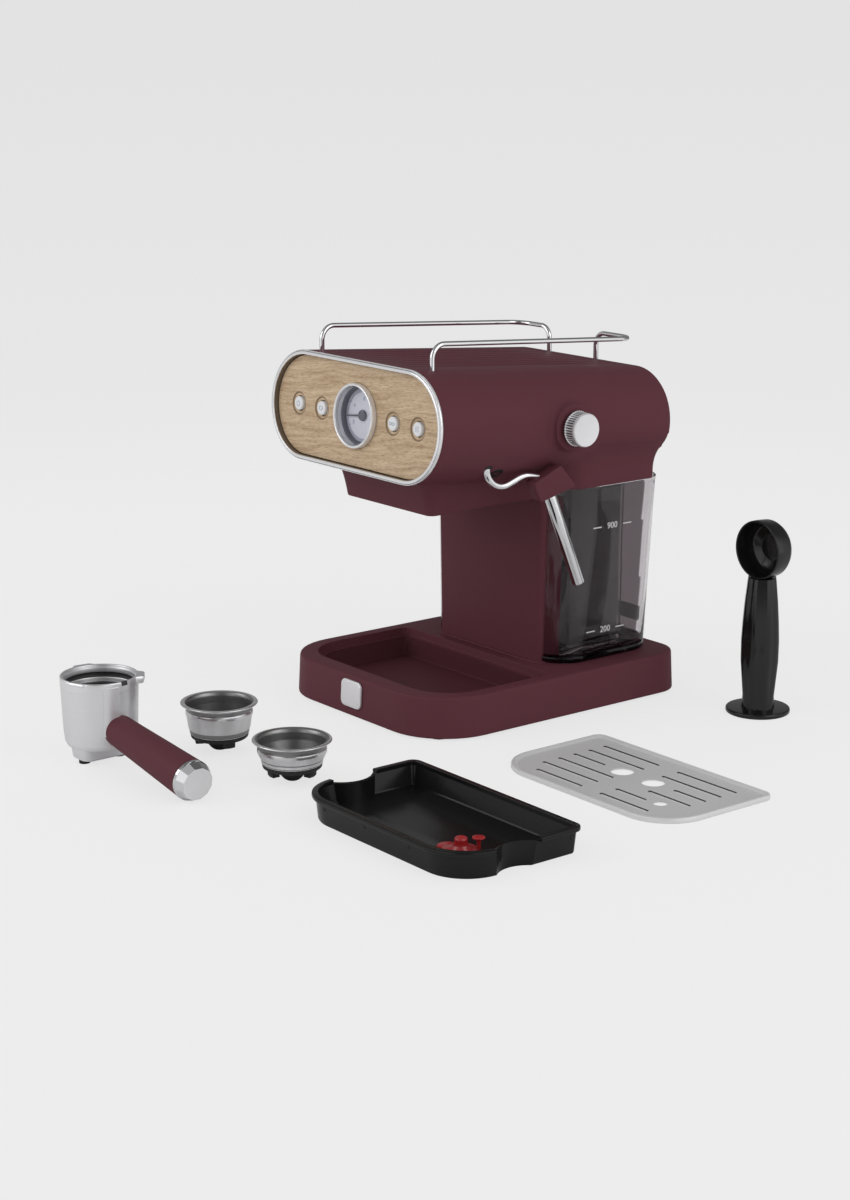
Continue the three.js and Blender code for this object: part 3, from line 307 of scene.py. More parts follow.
def pipe(bm, corners, bends, radius, sides=28, steps=12):
    """A round rod along straight runs joined by round bends."""
    corners = [Vector(corner) for corner in corners]
    ahead = (corners[1] - corners[0]).normalized()
    facing = ahead.to_track_quat("Z", "Y").to_matrix().to_4x4()
    ring = bmesh.ops.create_circle(
        bm,
        cap_ends=True,
        radius=radius,
        segments=sides,
        matrix=Matrix.Translation(corners[0]) @ facing,
    )["verts"][0].link_faces[0].edges[:]
    here = corners[0]
    for bend, before, corner, after in zip(bends, corners, corners[1:], corners[2:]):
        coming = (corner - before).normalized()
        going = (after - corner).normalized()
        turn = coming.angle(going)
        setback = bend * math.tan(turn / 2)
        start = corner - coming * setback
        ring = extrude(bm, ring, start - here)
        axis = coming.cross(going).normalized()
        spun = bmesh.ops.spin(
            bm,
            geom=ring,
            cent=start + axis.cross(coming) * bend,
            axis=axis,
            angle=turn,
            steps=steps,
            use_duplicate=False,
        )
        ring = [item for item in spun["geom_last"] if isinstance(item, BMEdge)]
        here = corner + going * setback
    ring = extrude(bm, ring, corners[-1] - here)
    cap(bm, ring)


def paint(faces, index):
    """Gives faces one of their piece's materials."""
    for face in faces:
        face.material_index = index


def faces_where(faces, test):
    """The faces whose middle passes a test."""
    return [face for face in faces if test(face.calc_center_median())]


def piece(name, bm, place, finishes, body, replaces=(), angle=32.0):
    """Makes a mesh in millimetres into a shown piece that rides on a body."""
    bmesh.ops.remove_doubles(bm, verts=bm.verts, dist=0.002)
    bmesh.ops.recalc_face_normals(bm, faces=bm.faces)
    bmesh.ops.transform(bm, matrix=place, verts=bm.verts)
    mesh = bpy.data.meshes.new(name)
    bm.to_mesh(mesh)
    bm.free()
    for label in finishes:
        mesh.materials.append(finish(label))
    mesh.shade_smooth()
    mesh.set_sharp_from_angle(angle=math.radians(angle))
    made = bpy.data.objects.new(name, mesh)
    bpy.context.scene.collection.objects.link(made)
    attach(made, body)
    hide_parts(*replaces)


# ------------------------------------------------------------------------------ materials


def linear(code):
    """A screen colour such as "a0b1c2" as scene-linear red, green and blue."""
    shares = [int(code[i : i + 2], 16) / 255 for i in (0, 2, 4)]
    return tuple(
        share / 12.92 if share <= 0.04045 else ((share + 0.055) / 1.055) ** 2.4
        for share in shares
    )


# Spacing of the nodes in a tree
NODE_WIDTH = 220
NODE_HEIGHT = 240

# A Mix node's inputs 2 and 3 are its plain values, and 6 and 7 its colours


def add(tree, kind, place, inputs=(), **settings):
    """A node at a column and row; its inputs are values or the outputs that feed them."""
    made = tree.nodes.new(kind)
    made.location = (place[0] * NODE_WIDTH, -place[1] * NODE_HEIGHT)
    for name, value in settings.items():
        setattr(made, name, value)
    for name, value in dict(inputs).items():
        if isinstance(value, bpy.types.NodeSocket):
            tree.links.new(value, made.inputs[name])
        else:
            made.inputs[name].default_value = value
    return made


def new_group(name, inputs, outputs, width=6):
    """An empty shader group with its sockets, and its input and output nodes."""
    tree = bpy.data.node_groups.new(name, "ShaderNodeTree")
    for label, kind, value in inputs:
        socket = tree.interface.new_socket(label, in_out="INPUT", socket_type=kind)
        socket.default_value = value
    for label, kind in outputs:
        tree.interface.new_socket(label, in_out="OUTPUT", socket_type=kind)
    given = add(tree, "NodeGroupInput", (0, 0))
    return tree, given, add(tree, "NodeGroupOutput", (width, 0))


SURFACE_OUTPUTS = (
    ("Color", "NodeSocketColor"),
    ("Roughness", "NodeSocketFloat"),
    ("Height", "NodeSocketFloat"),
)


def shade(tree, fac, source, target, column, colour=True):
    """Scales a colour, or shifts a roughness, by how far a noise is from its middle."""
    amount = source[1]
    offset = add(
        tree, "ShaderNodeMath", (column, 1), {0: fac, 1: 0.5}, operation="SUBTRACT"
    )
    around = add(
        tree, "ShaderNodeMath", (column + 1, 1),
        {0: offset.outputs[0], 1: amount, 2: 1.0 if colour else source[0]},
        operation="MULTIPLY_ADD",
    )
    if not colour:
        tree.links.new(around.outputs[0], target)
        return
    scaled_colour = add(
        tree, "ShaderNodeVectorMath", (column + 2, 0),
        {0: source[0], "Scale": around.outputs[0]}, operation="SCALE",
    )
    tree.links.new(scaled_colour.outputs[0], target)


def moulded_group():
    """Cloudy colour and roughness with a fine grain, for moulded and painted surfaces."""
    tree, given, result = new_group(
        "Moulded Surface",
        (
            ("Color", "NodeSocketColor", (0.5, 0.5, 0.5, 1)),
            ("Mottle", "NodeSocketFloat", 0.08),
            ("Mottle Scale", "NodeSocketFloat", 22.0),
            ("Grain Scale", "NodeSocketFloat", 2200.0),
            ("Roughness", "NodeSocketFloat", 0.5),
            ("Roughness Spread", "NodeSocketFloat", 0.12),
        ),
        SURFACE_OUTPUTS,
    )
    given = given.outputs
    place = add(tree, "ShaderNodeTexCoord", (0, 2)).outputs["Object"]
    cloud = add(
        tree, "ShaderNodeTexNoise", (1, 1),
        {"Vector": place, "Scale": given["Mottle Scale"], "Detail": 3.0, "Roughness": 0.55},
    ).outputs["Fac"]
    grain = add(
        tree, "ShaderNodeTexNoise", (1, 2),
        {"Vector": place, "Scale": given["Grain Scale"], "Detail": 2.0},
    )
    source = given["Color"], given["Mottle"]
    shade(tree, cloud, source, result.inputs["Color"], 2)
    source = given["Roughness"], given["Roughness Spread"]
    shade(tree, cloud, source, result.inputs["Roughness"], 3, False)
    tree.links.new(grain.outputs["Fac"], result.inputs["Height"])
    return tree


def brushed_group():
    """Fine lines along one direction, for rolled and brushed metal."""
    tree, given, result = new_group(
        "Brushed Metal",
        (
            ("Color", "NodeSocketColor", (0.6, 0.6, 0.6, 1)),
            ("Line Scale", "NodeSocketVector", (900.0, 900.0, 30.0)),
            ("Line Contrast", "NodeSocketFloat", 0.15),
            ("Roughness", "NodeSocketFloat", 0.25),
            ("Roughness Spread", "NodeSocketFloat", 0.12),
        ),
        SURFACE_OUTPUTS,
    )
    given = given.outputs
    place = add(tree, "ShaderNodeTexCoord", (0, 2)).outputs["Object"]
    drawn = add(
        tree, "ShaderNodeVectorMath", (1, 2), {0: place, 1: given["Line Scale"]},
        operation="MULTIPLY",
    )
    lines = add(
        tree, "ShaderNodeTexNoise", (2, 2),
        {"Vector": drawn.outputs[0], "Scale": 1.0, "Detail": 4.0},
    ).outputs["Fac"]
    source = given["Color"], given["Line Contrast"]
    shade(tree, lines, source, result.inputs["Color"], 3)
    source = given["Roughness"], given["Roughness Spread"]
    shade(tree, lines, source, result.inputs["Roughness"], 3, False)
    tree.links.new(lines, result.inputs["Height"])
    return tree


def wood_group():
    """Straight light grain with short dark pores, running along X."""
    tree, given, result = new_group(
        "Wood Grain",
        (
            ("Light", "NodeSocketColor", (0.5, 0.4, 0.3, 1)),
            ("Dark", "NodeSocketColor", (0.3, 0.2, 0.1, 1)),
            ("Grain Scale", "NodeSocketVector", (24.0, 380.0, 380.0)),
            ("Pore Scale", "NodeSocketVector", (190.0, 2000.0, 2000.0)),
            ("Roughness", "NodeSocketFloat", 0.5),
        ),
        SURFACE_OUTPUTS,
        7,
    )
    given = given.outputs
    place = add(tree, "ShaderNodeTexCoord", (0, 2)).outputs["Object"]
    waver = add(
        tree, "ShaderNodeTexNoise", (0, 3), {"Vector": place, "Scale": 16.0, "Detail": 2.0}
    )
    bent = add(
        tree, "ShaderNodeVectorMath", (1, 3),
        {0: waver.outputs["Fac"], 1: (0.0, 0.0, 0.014)}, operation="MULTIPLY_ADD",
    )
    leant = add(
        tree, "ShaderNodeVectorRotate", (0, 4), {"Vector": place, "Angle": math.radians(7)},
        rotation_type="Y_AXIS",
    )
    tree.links.new(leant.outputs[0], bent.inputs[2])
    facs = []
    for row, name in ((1, "Grain Scale"), (2, "Pore Scale")):
        drawn = add(
            tree, "ShaderNodeVectorMath", (2, row), {0: bent.outputs[0], 1: given[name]},
            operation="MULTIPLY",
        )
        noise = add(
            tree, "ShaderNodeTexNoise", (3, row),
            {"Vector": drawn.outputs[0], "Scale": 1.0, "Detail": 5.0},
        )
        facs.append(noise.outputs["Fac"])
    masks = []
    for row, (fac, low, high) in enumerate(((facs[0], 0.32, 0.68), (facs[1], 0.46, 0.72)), 1):
        mask = add(
            tree, "ShaderNodeMapRange", (4, row),
            {"Value": fac, "From Min": low, "From Max": high, "To Min": 0.0, "To Max": 0.6},
        )
        masks.append(mask.outputs[0])
    both = add(
        tree, "ShaderNodeMath", (5, 1), dict(enumerate(masks)), operation="ADD",
        use_clamp=True,
    ).outputs[0]
    tone = add(
        tree, "ShaderNodeMix", (6, 1),
        {"Factor": both, 6: given["Light"], 7: given["Dark"]}, data_type="RGBA",
    )
    tree.links.new(tone.outputs[2], result.inputs["Color"])
    tree.links.new(given["Roughness"], result.inputs["Roughness"])
    tree.links.new(both, result.inputs["Height"])
    return tree


def shared_group(name):
    """One of the shader groups that several materials use."""
    makers = {
        "Moulded Surface": moulded_group,
        "Brushed Metal": brushed_group,
        "Wood Grain": wood_group,
    }
    return bpy.data.node_groups.get(name) or makers[name]()


def new_material(name, group_name, inputs, strength, distance):
    """A material on a shared group; an input that the group lacks goes to its shader."""
    made = bpy.data.materials.new(name)
    made.use_nodes = True
    tree = made.node_tree
    principled = tree.nodes["Principled BSDF"]
    group = add(tree, "ShaderNodeGroup", (-3, 0), node_tree=shared_group(group_name))
    for label, value in inputs.items():
        owner = group if label in group.inputs else principled
        owner.inputs[label].default_value = value
    relief = add(
        tree, "ShaderNodeBump", (-1, 2),
        {"Strength": strength, "Distance": distance, "Height": group.outputs["Height"]},
    )
    tree.links.new(group.outputs["Color"], principled.inputs["Base Color"])
    tree.links.new(group.outputs["Roughness"], principled.inputs["Roughness"])
    tree.links.new(relief.outputs["Normal"], principled.inputs["Normal"])
    made.diffuse_color = (*inputs.get("Color", inputs.get("Light"))[:3], 1)
    return made


def moulded(name, colour, roughness, more=()):
    """A moulded plastic or rubber, with any further inputs."""
    inputs = {"Color": (*colour, 1), "Roughness": roughness, **dict(more)}
    return new_material(name, "Moulded Surface", inputs, 0.25, 0.00006)


def metal(name, colour, roughness, contrast, lines=(900.0, 900.0, 30.0), metallic=1.0):
    """A polished or brushed metal, with the contrast and scale of its lines."""
    inputs = {
        "Color": (*colour, 1),
        "Roughness": roughness,
        "Line Contrast": contrast,
        "Line Scale": lines,
        "Roughness Spread": roughness * 0.5,
        "Metallic": metallic,
    }
    return new_material(name, "Brushed Metal", inputs, contrast * 0.3, 0.00002)


def clear(name, colour, roughness, ior):
    """A clear plastic or glass that lets light through to what is behind it."""
    inputs = {
        "Color": (*colour, 1),
        "Roughness": roughness,
        "Roughness Spread": 0.02,
        "Mottle": 0.03,
        "Grain Scale": 60.0,
        "Transmission Weight": 1.0,
        "IOR": ior,
        "Specular IOR Level": 0.12,
    }
    made = new_material(name, "Moulded Surface", inputs, 0.003, 0.0002)
    tree = made.node_tree
    end = tree.nodes["Material Output"]
    ray = add(tree, "ShaderNodeLightPath", (0, 3)).outputs
    either = add(
        tree, "ShaderNodeMath", (1, 3), {0: ray["Is Shadow Ray"], 1: ray["Is Diffuse Ray"]},
        operation="MAXIMUM",
    )
    through = add(tree, "ShaderNodeBsdfTransparent", (1, 2), {"Color": (*colour, 1)})
    surface = tree.nodes["Principled BSDF"].outputs[0]
    mixed = add(
        tree, "ShaderNodeMixShader", (2, 1),
        {"Fac": either.outputs[0], 1: surface, 2: through.outputs[0]},
    )
    tree.links.new(mixed.outputs[0], end.inputs["Surface"])
    end.location = (3 * NODE_WIDTH, 0)
    return made


def wood(name, light, roughness):
    """The front panel's light wood."""
    inputs = {
        "Light": (*light, 1),
        "Dark": (*colour_of("wood_dark"), 1),
        "Roughness": roughness,
    }
    return new_material(name, "Wood Grain", inputs, 0.25, 0.00012)


# Scale of a metal's lines where they have no direction
EVEN_LINES = (60.0, 60.0, 60.0)

# For each finish, what makes it, its colour, its roughness and what else that takes
FINISHES = {
    "burgundy": (moulded, "burgundy", 0.5, {"Mottle": 0.05, "Specular IOR Level": 0.07}),
    # A darker burgundy, painted shade for the base's recess
    "burgundy_recess_shade": (moulded, "583238", 0.5, {"Mottle": 0.05, "Specular IOR Level": 0.05}),
    "black_plastic": (moulded, "161516", 0.5),
    "black_gloss": (
        moulded, "black", 0.18,
        {"Roughness Spread": 0.08, "Mottle": 0.15, "Specular IOR Level": 0.25},
    ),
    "scoop_gloss": (
        moulded, "black", 0.1,
        {"Roughness Spread": 0.05, "Mottle": 0.15, "Specular IOR Level": 0.45},
    ),
    "tower_plastic": (moulded, "3d3635", 0.5),
    "tray_mark": (moulded, "080808", 0.6),
    # Near black: rubber for the feet, seals and sockets, and painted shade at the wood panel's
    # edge and in the gaps round the buttons
    "rubber": (moulded, "121212", 0.65),
    "chrome": (metal, "chrome", 0.05, 0.02, EVEN_LINES),
    "bright_chrome": (metal, "f6f6f8", 0.12, 0.02, EVEN_LINES, 0.5),
    # Dark chrome, painted shade in the bezel's groove and in the knob flange's valleys
    "chrome_groove_shade": (metal, "5a5a62", 0.12, 0.05),
    # Brown grey, painted shade and painted reflection of the wood on the bezel's inner wall
    "bezel_wall_shade": (moulded, "6e5f50", 0.4),
    "steel": (metal, "steel", 0.2, 0.5, (170.0, 170.0, 8.0), 0.8),
    # A darker steel, painted shade for the baskets' inner walls
    "basket_inside_shade": (metal, "8e8e8e", 0.3, 0.2, (40.0, 40.0, 900.0), 0.8),
    # Dark grey, painted shade in the knob grip's grooves
    "knob_groove_shade": (moulded, "34343a", 0.4),
    # Dark blue grey, painted shade on the gauge cup's deep wall
    "gauge_wall_shade": (moulded, "565664", 0.3),
    # Grey, painted shade at the dial's edge
    "dial_edge_shade": (moulded, "a9a9b8", 0.45),
    # A darker clear plastic, painted shade on the tank's rear wall and foot
    "shaded_clear_plastic": (clear, "6c6266", 0.02, 1.33),
    "grille_steel": (metal, "d6d6d6", 0.45, 0.3, (700.0, 900.0, 60.0), 0.1),
    "grille_rim": (metal, "ebebeb", 0.35, 0.06, (60.0, 60.0, 900.0), 0.2),
    # Dark grey, painted shade on the grille's slot walls
    "grille_slot_shade": (moulded, "4a4a4a", 0.5),
    "portafilter_steel": (metal, "ececee", 0.34, 0.06, (30.0, 30.0, 1200.0), 0.8),
    # Dark grey with dots: the baskets' perforated floors, and painted shade inside the
    # portafilter's cup, in its rim groove and in its notch
    "perforated_and_shade": (moulded, "3a3a3a", 0.4, {"Mottle": 1.2, "Mottle Scale": 700.0}),
    "aluminium": (metal, "a6a7a8", 0.4, 0.15, (300.0, 300.0, 300.0)),
    "brass": (metal, "b08d4a", 0.3, 0.12),
    "wood": (wood, "wood_light", 0.55),
    # Darker wood round each button's dish: a dark ring, partly painted shade on its step
    "wood_ring_and_shade": (moulded, "8a7458", 0.6),
    "silver": (metal, "eeedef", 0.4, 0.08, (200.0, 200.0, 200.0), 0.6),
    "white_plastic": (moulded, "f0f1f4", 0.35, {"Mottle": 0.02}),
    "icon": (moulded, "8f9fb4", 0.45),
    "print_white": (moulded, "e4e4e4", 0.5),
    "dial": (moulded, "dial", 0.45, {"Mottle": 0.03}),
    "needle": (moulded, "4f505c", 0.4),
    "lens": (clear, (0.97, 0.98, 0.99), 0.0, 1.25),
    "clear_plastic": (clear, "tank", 0.02, 1.33),
    "silicone": (moulded, "d2d2cb", 0.45, {"Subsurface Weight": 0.15}),
    "circuit_board": (moulded, "24503a", 0.35),
    "red_plastic": (moulded, "a8272b", 0.22, {"Mottle": 0.1, "Coat Weight": 0.3}),
}


def colour_of(source):
    """A colour from the name of its setting, its screen value or its own three shares."""
    if isinstance(source, tuple):
        return source
    return getattr(bpy.context.scene.espresso_colours, source, None) or linear(source)


def finish(name):
    """A material by its name, made the first time that a piece asks for it."""
    label = "shown " + name
    make, colour, *rest = FINISHES[name]
    return bpy.data.materials.get(label) or make(label, colour_of(colour), *rest)


def dress(name, *nodes):
    """Gives CAD nodes that stay in view a material."""
    for node in nodes:
        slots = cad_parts[node].data.materials
        slots.clear()
        slots.append(finish(name))


# ------------------------------------------------------------------------------ base


def make_base(sizes):
    """The base with its tray recess, and the badge on its front."""
    edge = sizes.base_edge / MM

    def outside(inset):
        return rounded(107.2 - inset, inset - 133.5, 133.5 - inset, 51.3 - inset, 26.7 - inset)

    def recess(inset):
        return rounded(93.5 - inset, inset - 115.8, -4.8 - inset, 36.5 - inset, 8 - inset)

    bm = bmesh.new()
    side = soften([(3.0, 1.6), (0.0, 1.6), (1.6, 34.6), (12.0, 34.6)], edge, 5)
    loops = [loop(bm, level(outside(inset), z)) for inset, z in side[:-1]]
    cap(bm, loops[0])
    well = soften([(-1.2, 34.6), (0.0, 34.6), (0.0, 28.2), (4.6, 28.2)], 0.9, 3)
    well += soften([(4.6, 28.2), (4.6, 12.0), (7.4, 12.0)], 2.2, 4)[1:]
    loops += [loop(bm, level(recess(inset), z)) for inset, z in well]
    bridge(bm, loops)
    # The recess's floor and walls take a darker burgundy: painted shade in the recess, on the
    # same plastic.
    paint(cap(bm, loops[-1]), 1)
    inside = faces_where(
        bm.faces, lambda at: abs(at.x) < 90 and -112 < at.y < -8 and 3 < at.z < 28
    )
    paint(inside, 1)
    piece(
        "base", bm, machine_frame(), ["burgundy", "burgundy_recess_shade"], "machine",
        ["base_shell"], 40,
    )

    low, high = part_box("badge_plate")
    middle = (low + high) / 2
    lean = math.atan(1.6 / 31)
    place = (
        Matrix.Translation((middle.x, low.y + 0.0009, middle.z + 0.0021))
        @ Matrix.Scale(MM, 4)
        @ Matrix.Rotation(math.pi / 2 - lean, 4, "X")
    )
    bm = bmesh.new()
    face = soften([(0.0, -0.8), (0.0, 0.8), (3.0, 1.15)], 0.7, 4)
    stack(bm, lambda inset: rounded(13 - inset, inset - 11, 11 - inset, 5, 5), face)
    piece("badge", bm, place, ["silver"], "machine", ["badge_plate"])


def make_column():
    """The column's upright front plate, wider at its top, and the low step round its foot."""
    bm = bmesh.new()
    loops = []
    for z, half in ((34.7, 63.6), (100.0, 65.2), (171.6, 67.0)):
        right = [(half, 30.5)] + arc((half - 4, 12.5), 4, 0, -90, 6)
        inner = arc((half - 7, 15.0), 3, -90, 0, 4) + [(half - 3.2, 30.5)]
        outline = right + mirrored(right) + mirrored(inner) + inner
        loops.append(loop(bm, level(outline, z)))
    skin(bm, loops)
    foot = [(0.0, 34.5), (0.0, 35.0), (0.3, 35.4), (1.0, 35.6)]
    stack(bm, lambda inset: rounded(66.5 - inset, 5.5 + inset, 31 - inset, 7, 2, 6), foot)
    piece("column", bm, machine_frame(), ["burgundy"], "machine", ["column_cover"])


# ------------------------------------------------------------------------------ head


def low_radius(depth):
    """The radius of the bulge's lower half, which tightens towards the rear."""
    share = min(max((depth - 136) / 36, 0.0), 1.0)
    return NOSE_RADIUS - 21 * share * share * (3 - 2 * share)


def section(depth, inset=0.0):
    """Across the head at a depth, from under its middle round by its right side."""
    low = low_radius(depth)
    middle = NOSE_STRAIGHT + NOSE_RADIUS - low
    half = [(x, inset - low) for x in (0, 22, 44)]
    half += arc((middle, 0), low - inset, -90, 0, 16)
    half += arc((NOSE_STRAIGHT, 0), NOSE_RADIUS - inset, 0, 90, 16)[1:]
    half += [(x, NOSE_RADIUS - inset) for x in (59.2, 40, 20, 0)]
    return half + mirrored(half[1:-1])


def under_nose(x, y):
    """The height of the head's underside over a point of the worktop."""
    depth = (y - NOSE_AT[1] + 40 * math.sin(TILT)) / math.cos(TILT)
    low = low_radius(depth)
    middle = NOSE_STRAIGHT + NOSE_RADIUS - low
    over = min(max(abs(x) - middle, 0.0), low - 0.5)
    drop = math.sqrt(low * low - over * over)
    return NOSE_AT[2] - depth * math.sin(TILT) - drop * math.cos(TILT)


def side_of_nose(y, z):
    """How far the head's right side reaches at a depth and a height."""
    depth = y - NOSE_AT[1]
    up = (z - NOSE_AT[2] + depth * math.sin(TILT)) / math.cos(TILT)
    low = low_radius(depth) if up < 0 else NOSE_RADIUS
    return NOSE_STRAIGHT + NOSE_RADIUS - low + math.sqrt(low * low - up * up)


def flare(foot, out, lean):
    """Points from a wall's foot up and out in a hollow or leaning curve under the head."""
    steps, wall, ahead_by = 8, 1.0, 0.02
    reach = out.length
    top = foot + out
    top.z = under_nose(top.x, top.y)
    if reach < 0.01:
        run = [foot.lerp(top, i / steps) for i in range(steps + 1)]
        return [*run, top + Vector((0, 0, 1.5))]
    ahead = top + out * (ahead_by / reach)
    slope = (under_nose(ahead.x, ahead.y) - top.z) / ahead_by
    bend = foot + out * lean
    bend.z = max(top.z - slope * reach * (1 - lean), foot.z + wall)
    start = Vector((foot.x, foot.y, max(bend.z - (top - bend).length, foot.z)))
    if lean:
        start.z = foot.z
    run = [
        start * (1 - i / steps) ** 2
        + bend * (2 * i / steps * (1 - i / steps))
        + top * (i / steps) ** 2
        for i in range(steps + 1)
    ]
    return [*run, top - out * (1.0 / reach) + Vector((0, 0, 1.0))]


def ways_out(outline):
    """The outward direction at each point of a closed outline."""
    count = len(outline)
    found = []
    for i in range(count):
        before, after = Vector(outline[i - 1]), Vector(outline[(i + 1) % count])
        along = (after - before).normalized()
        found.append(Vector((along.y, -along.x)))
    return found


def hanging_block(bm, outline, floor_at, reach_at, edge=1.2, lean=0.0):
    """A block that flares out into the head's underside, and the loop of its open foot."""
    columns = []
    for (x, y), way in zip(outline, ways_out(outline)):
        floor = floor_at(y)
        foot = [
            Vector((x - way.x * edge, y - way.y * edge, floor)),
            Vector((x - way.x * edge * 0.3, y - way.y * edge * 0.3, floor + edge * 0.3)),
            Vector((x, y, floor + edge)),
        ]
        columns.append(foot + flare(foot[-1], reach_at(y, way).to_3d(), lean))
    loops = [loop(bm, points) for points in zip(*columns)]
    bridge(bm, loops)
    cap(bm, loops[-1])
    return loops[0]


def chin_outline():
    """The chin in plan: narrow and rounded at the front, and wider towards the column."""
    right = arc((49, -89), 8, -90, -4, 9)
    right += [(57.6, -70), (58.8, -52), (60.6, -34), (62.8, -16), (65.2, 0), (67, 11.5)]
    rear = [(x, 11.5) for x in (44, 22, 0, -22, -44)]
    front = [(x, -97) for x in (-18, 0, 18)]
    return right + rear + mirrored(right) + front


def skirt_outline():
    """The rear block of the head in plan, over the water tank."""
    front = arc((76.5, 29.2), 20, -90, 0, 8)
    side = [(96.5, y) for y in (42, 58, 74, 88)]
    rear = arc((92.5, 98.6), 4, 0, 90, 4)
    right = front + side + rear
    back = [(x, 102.6) for x in (60, 20, -20, -60)]
    face = [(x, 9.2) for x in (-60, -20, 20, 60)]
    return right + back + mirrored(right) + face


def from_knob(around, radius):
    """The depth and height of a point at a radius from the steam knob's axis."""
    return KNOB_AT[1] + around.x * radius, KNOB_AT[2] + around.y * radius


def knob_boss(bm):
    """The round boss on the head's right side, under the steam knob."""
    rim, foot, reach, hollow = 18.2, 22.8, 4.6, 4.2
    columns = []
    for i in range(64):
        around = Vector((math.cos(math.pi * i / 32), math.sin(math.pi * i / 32)))
        bend = side_of_nose(*from_knob(around, rim)) - 0.6
        top = side_of_nose(*from_knob(around, foot))
        run = [(16.6, 114.0), (17.7, 113.75), (rim, 112.9)]
        for j in range(7):
            t = j / 6
            x = (bend + hollow) * (1 - t) ** 2 + bend * 2 * t * (1 - t) + top * t * t
            run.append((rim + reach * t * t, x))
        run.append((foot, top - 1.2))
        columns.append([(x, *from_knob(around, radius)) for radius, x in run])
    skin(bm, [loop(bm, points) for points in zip(*columns)])


def make_head(sizes):
    """The head with its nose, chin, rear block and knob boss, and its rear cover."""
    turn = Matrix.Translation(NOSE_AT) @ Matrix.Rotation(-TILT, 4, "X")
    bm = bmesh.new()
    stations = [2.6, 3.2, 7, 12.0, 24, 40, 58, 76, 94, 112, 126, 138, 144, 150, 156, 162]
    stations += [168, 174, 184, 198, 212, 224.0, 232, 235.6, 236.2]
    insets = {2.6: 0.5, 3.2: 0.0, 235.6: 0.4, 236.2: 1.2}
    places = [(20, 2.4), (2.6, 2.4)]
    places += [(depth, insets.get(depth, 0.0)) for depth in stations]
    skin(bm, [loop(bm, upright(section(depth, inset), depth)) for depth, inset in places])
    top = faces_where(
        bm.faces, lambda at: at.z > PLATE_FLOOR and abs(at.x) < 59.2 and 12 < at.y < 224
    )
    bmesh.ops.delete(bm, geom=top, context="FACES")
    rim = [edge for edge in bm.edges if edge.is_boundary]
    cap(bm, extrude(bm, rim, (0, 0, -2.4)))
    bmesh.ops.transform(bm, matrix=turn, verts=bm.verts)

    reach = sizes.chin_flare / MM

    def chin_floor(y):
        return 168.2 + (y + 97) / 109 * 3.5

    def chin_reach(y, way):
        return way * reach if y < 8 else Vector((0, 0))

    foot = hanging_block(bm, chin_outline(), chin_floor, chin_reach, lean=0.45)
    mouth = arc((0, -55), 39.9, 0, 352.5, 47)
    well = loop(bm, [(x, y, chin_floor(y)) for x, y in mouth])
    fill(bm, foot + well)
    cap(bm, extrude(bm, well, (0, 0, 26)))

    def skirt_reach(y, way):
        side = 8.6 * max(-1.0, min(1.0, way.x * 2.2)) * (1.0 if y > 26 else 0.9)
        return Vector((side, 5.5 * min(way.y, 0.0) + 2.6 * max(way.y, 0.0)))

    cap(bm, hanging_block(bm, skirt_outline(), lambda y: 181.5, skirt_reach, 0.8))
    knob_boss(bm)
    piece("head", bm, machine_frame(), ["burgundy"], "machine", ["head_shell"], 40)

    bm = bmesh.new()
    top = NOSE_RADIUS - 1.3
    half = [(0, -43.4), (46, -43.4)] + arc((88.5, -39.4), 4, -90, 0, 5)
    half += [(92.7, -35), (94.2, -27.5), (97.0, -21.5), (100.2, -15.6), (104.0, -10.4)]
    half += arc((NOSE_STRAIGHT, 0), top, -8, 90, 18) + [(30, top), (0, top)]
    shape = half + mirrored(half[1:-1])
    loops = []
    for share, depth in ((1.0, 236.0), (0.997, 237.2), (0.985, 238.3), (0.965, 239.0)):
        loops.append(loop(bm, [(x * share, depth, z * share) for x, z in shape]))
    skin(bm, loops)
    piece(
        "head_rear", bm, nose_frame(), ["burgundy"], "machine",
        ["head_rear_cover"],
    )


def make_warming_plate(sizes):
    """The ribbed plate in the top of the head."""
    rise = sizes.rib_height / MM
    bm = bmesh.new()

    def place(across, along):
        x = -58.9 + 117.8 * across
        phase = abs((x + 6) % 12 - 6)
        rib = max(0.0, 1 - (phase / 1.7) ** 2) ** 0.5 if abs(x) < 56 else 0.0
        y = PLATE_FRONT + (PLATE_REAR - PLATE_FRONT) * along
        return (x, y, PLATE_FLOOR + rise * rib)

    sheet(bm, 236, 4, place)
    rim = [edge for edge in bm.edges if edge.is_boundary]
    cap(bm, extrude(bm, rim, (0, 0, -1.8)))
    for vert in bm.verts:
        from_end = min(vert.co.y - PLATE_FRONT, PLATE_REAR - vert.co.y)
        if from_end < 0.1 and vert.co.z > PLATE_FLOOR:
            vert.co.z = PLATE_FLOOR
    piece(
        "warming_plate_ribs", bm, nose_frame(), ["burgundy"], "machine",
        ["warming_plate"], 50,
    )


def make_rails():
    """The two bent rods that keep cups on the warming plate."""
    for side, name in zip(SIDES, ("rail_left", "rail_right")):
        bm = bmesh.new()
        post = 29 - 4 * side
        front_top = 304.9 + 0.3 * side
        rear_top = 291.4 + 0.6 * side
        corners = [
            (side * 71, -107, 282),
            (side * 71, -107, front_top),
            (side * 71, 101, rear_top),
            (side * post, 101, rear_top),
            (side * post, 101, 266),
        ]
        pipe(bm, corners, (11, 15, 10), 2.0)
        piece(name + "_rod", bm, machine_frame(), ["chrome"], "machine", [name], 60)


# ------------------------------------------------------------------------------ front panel


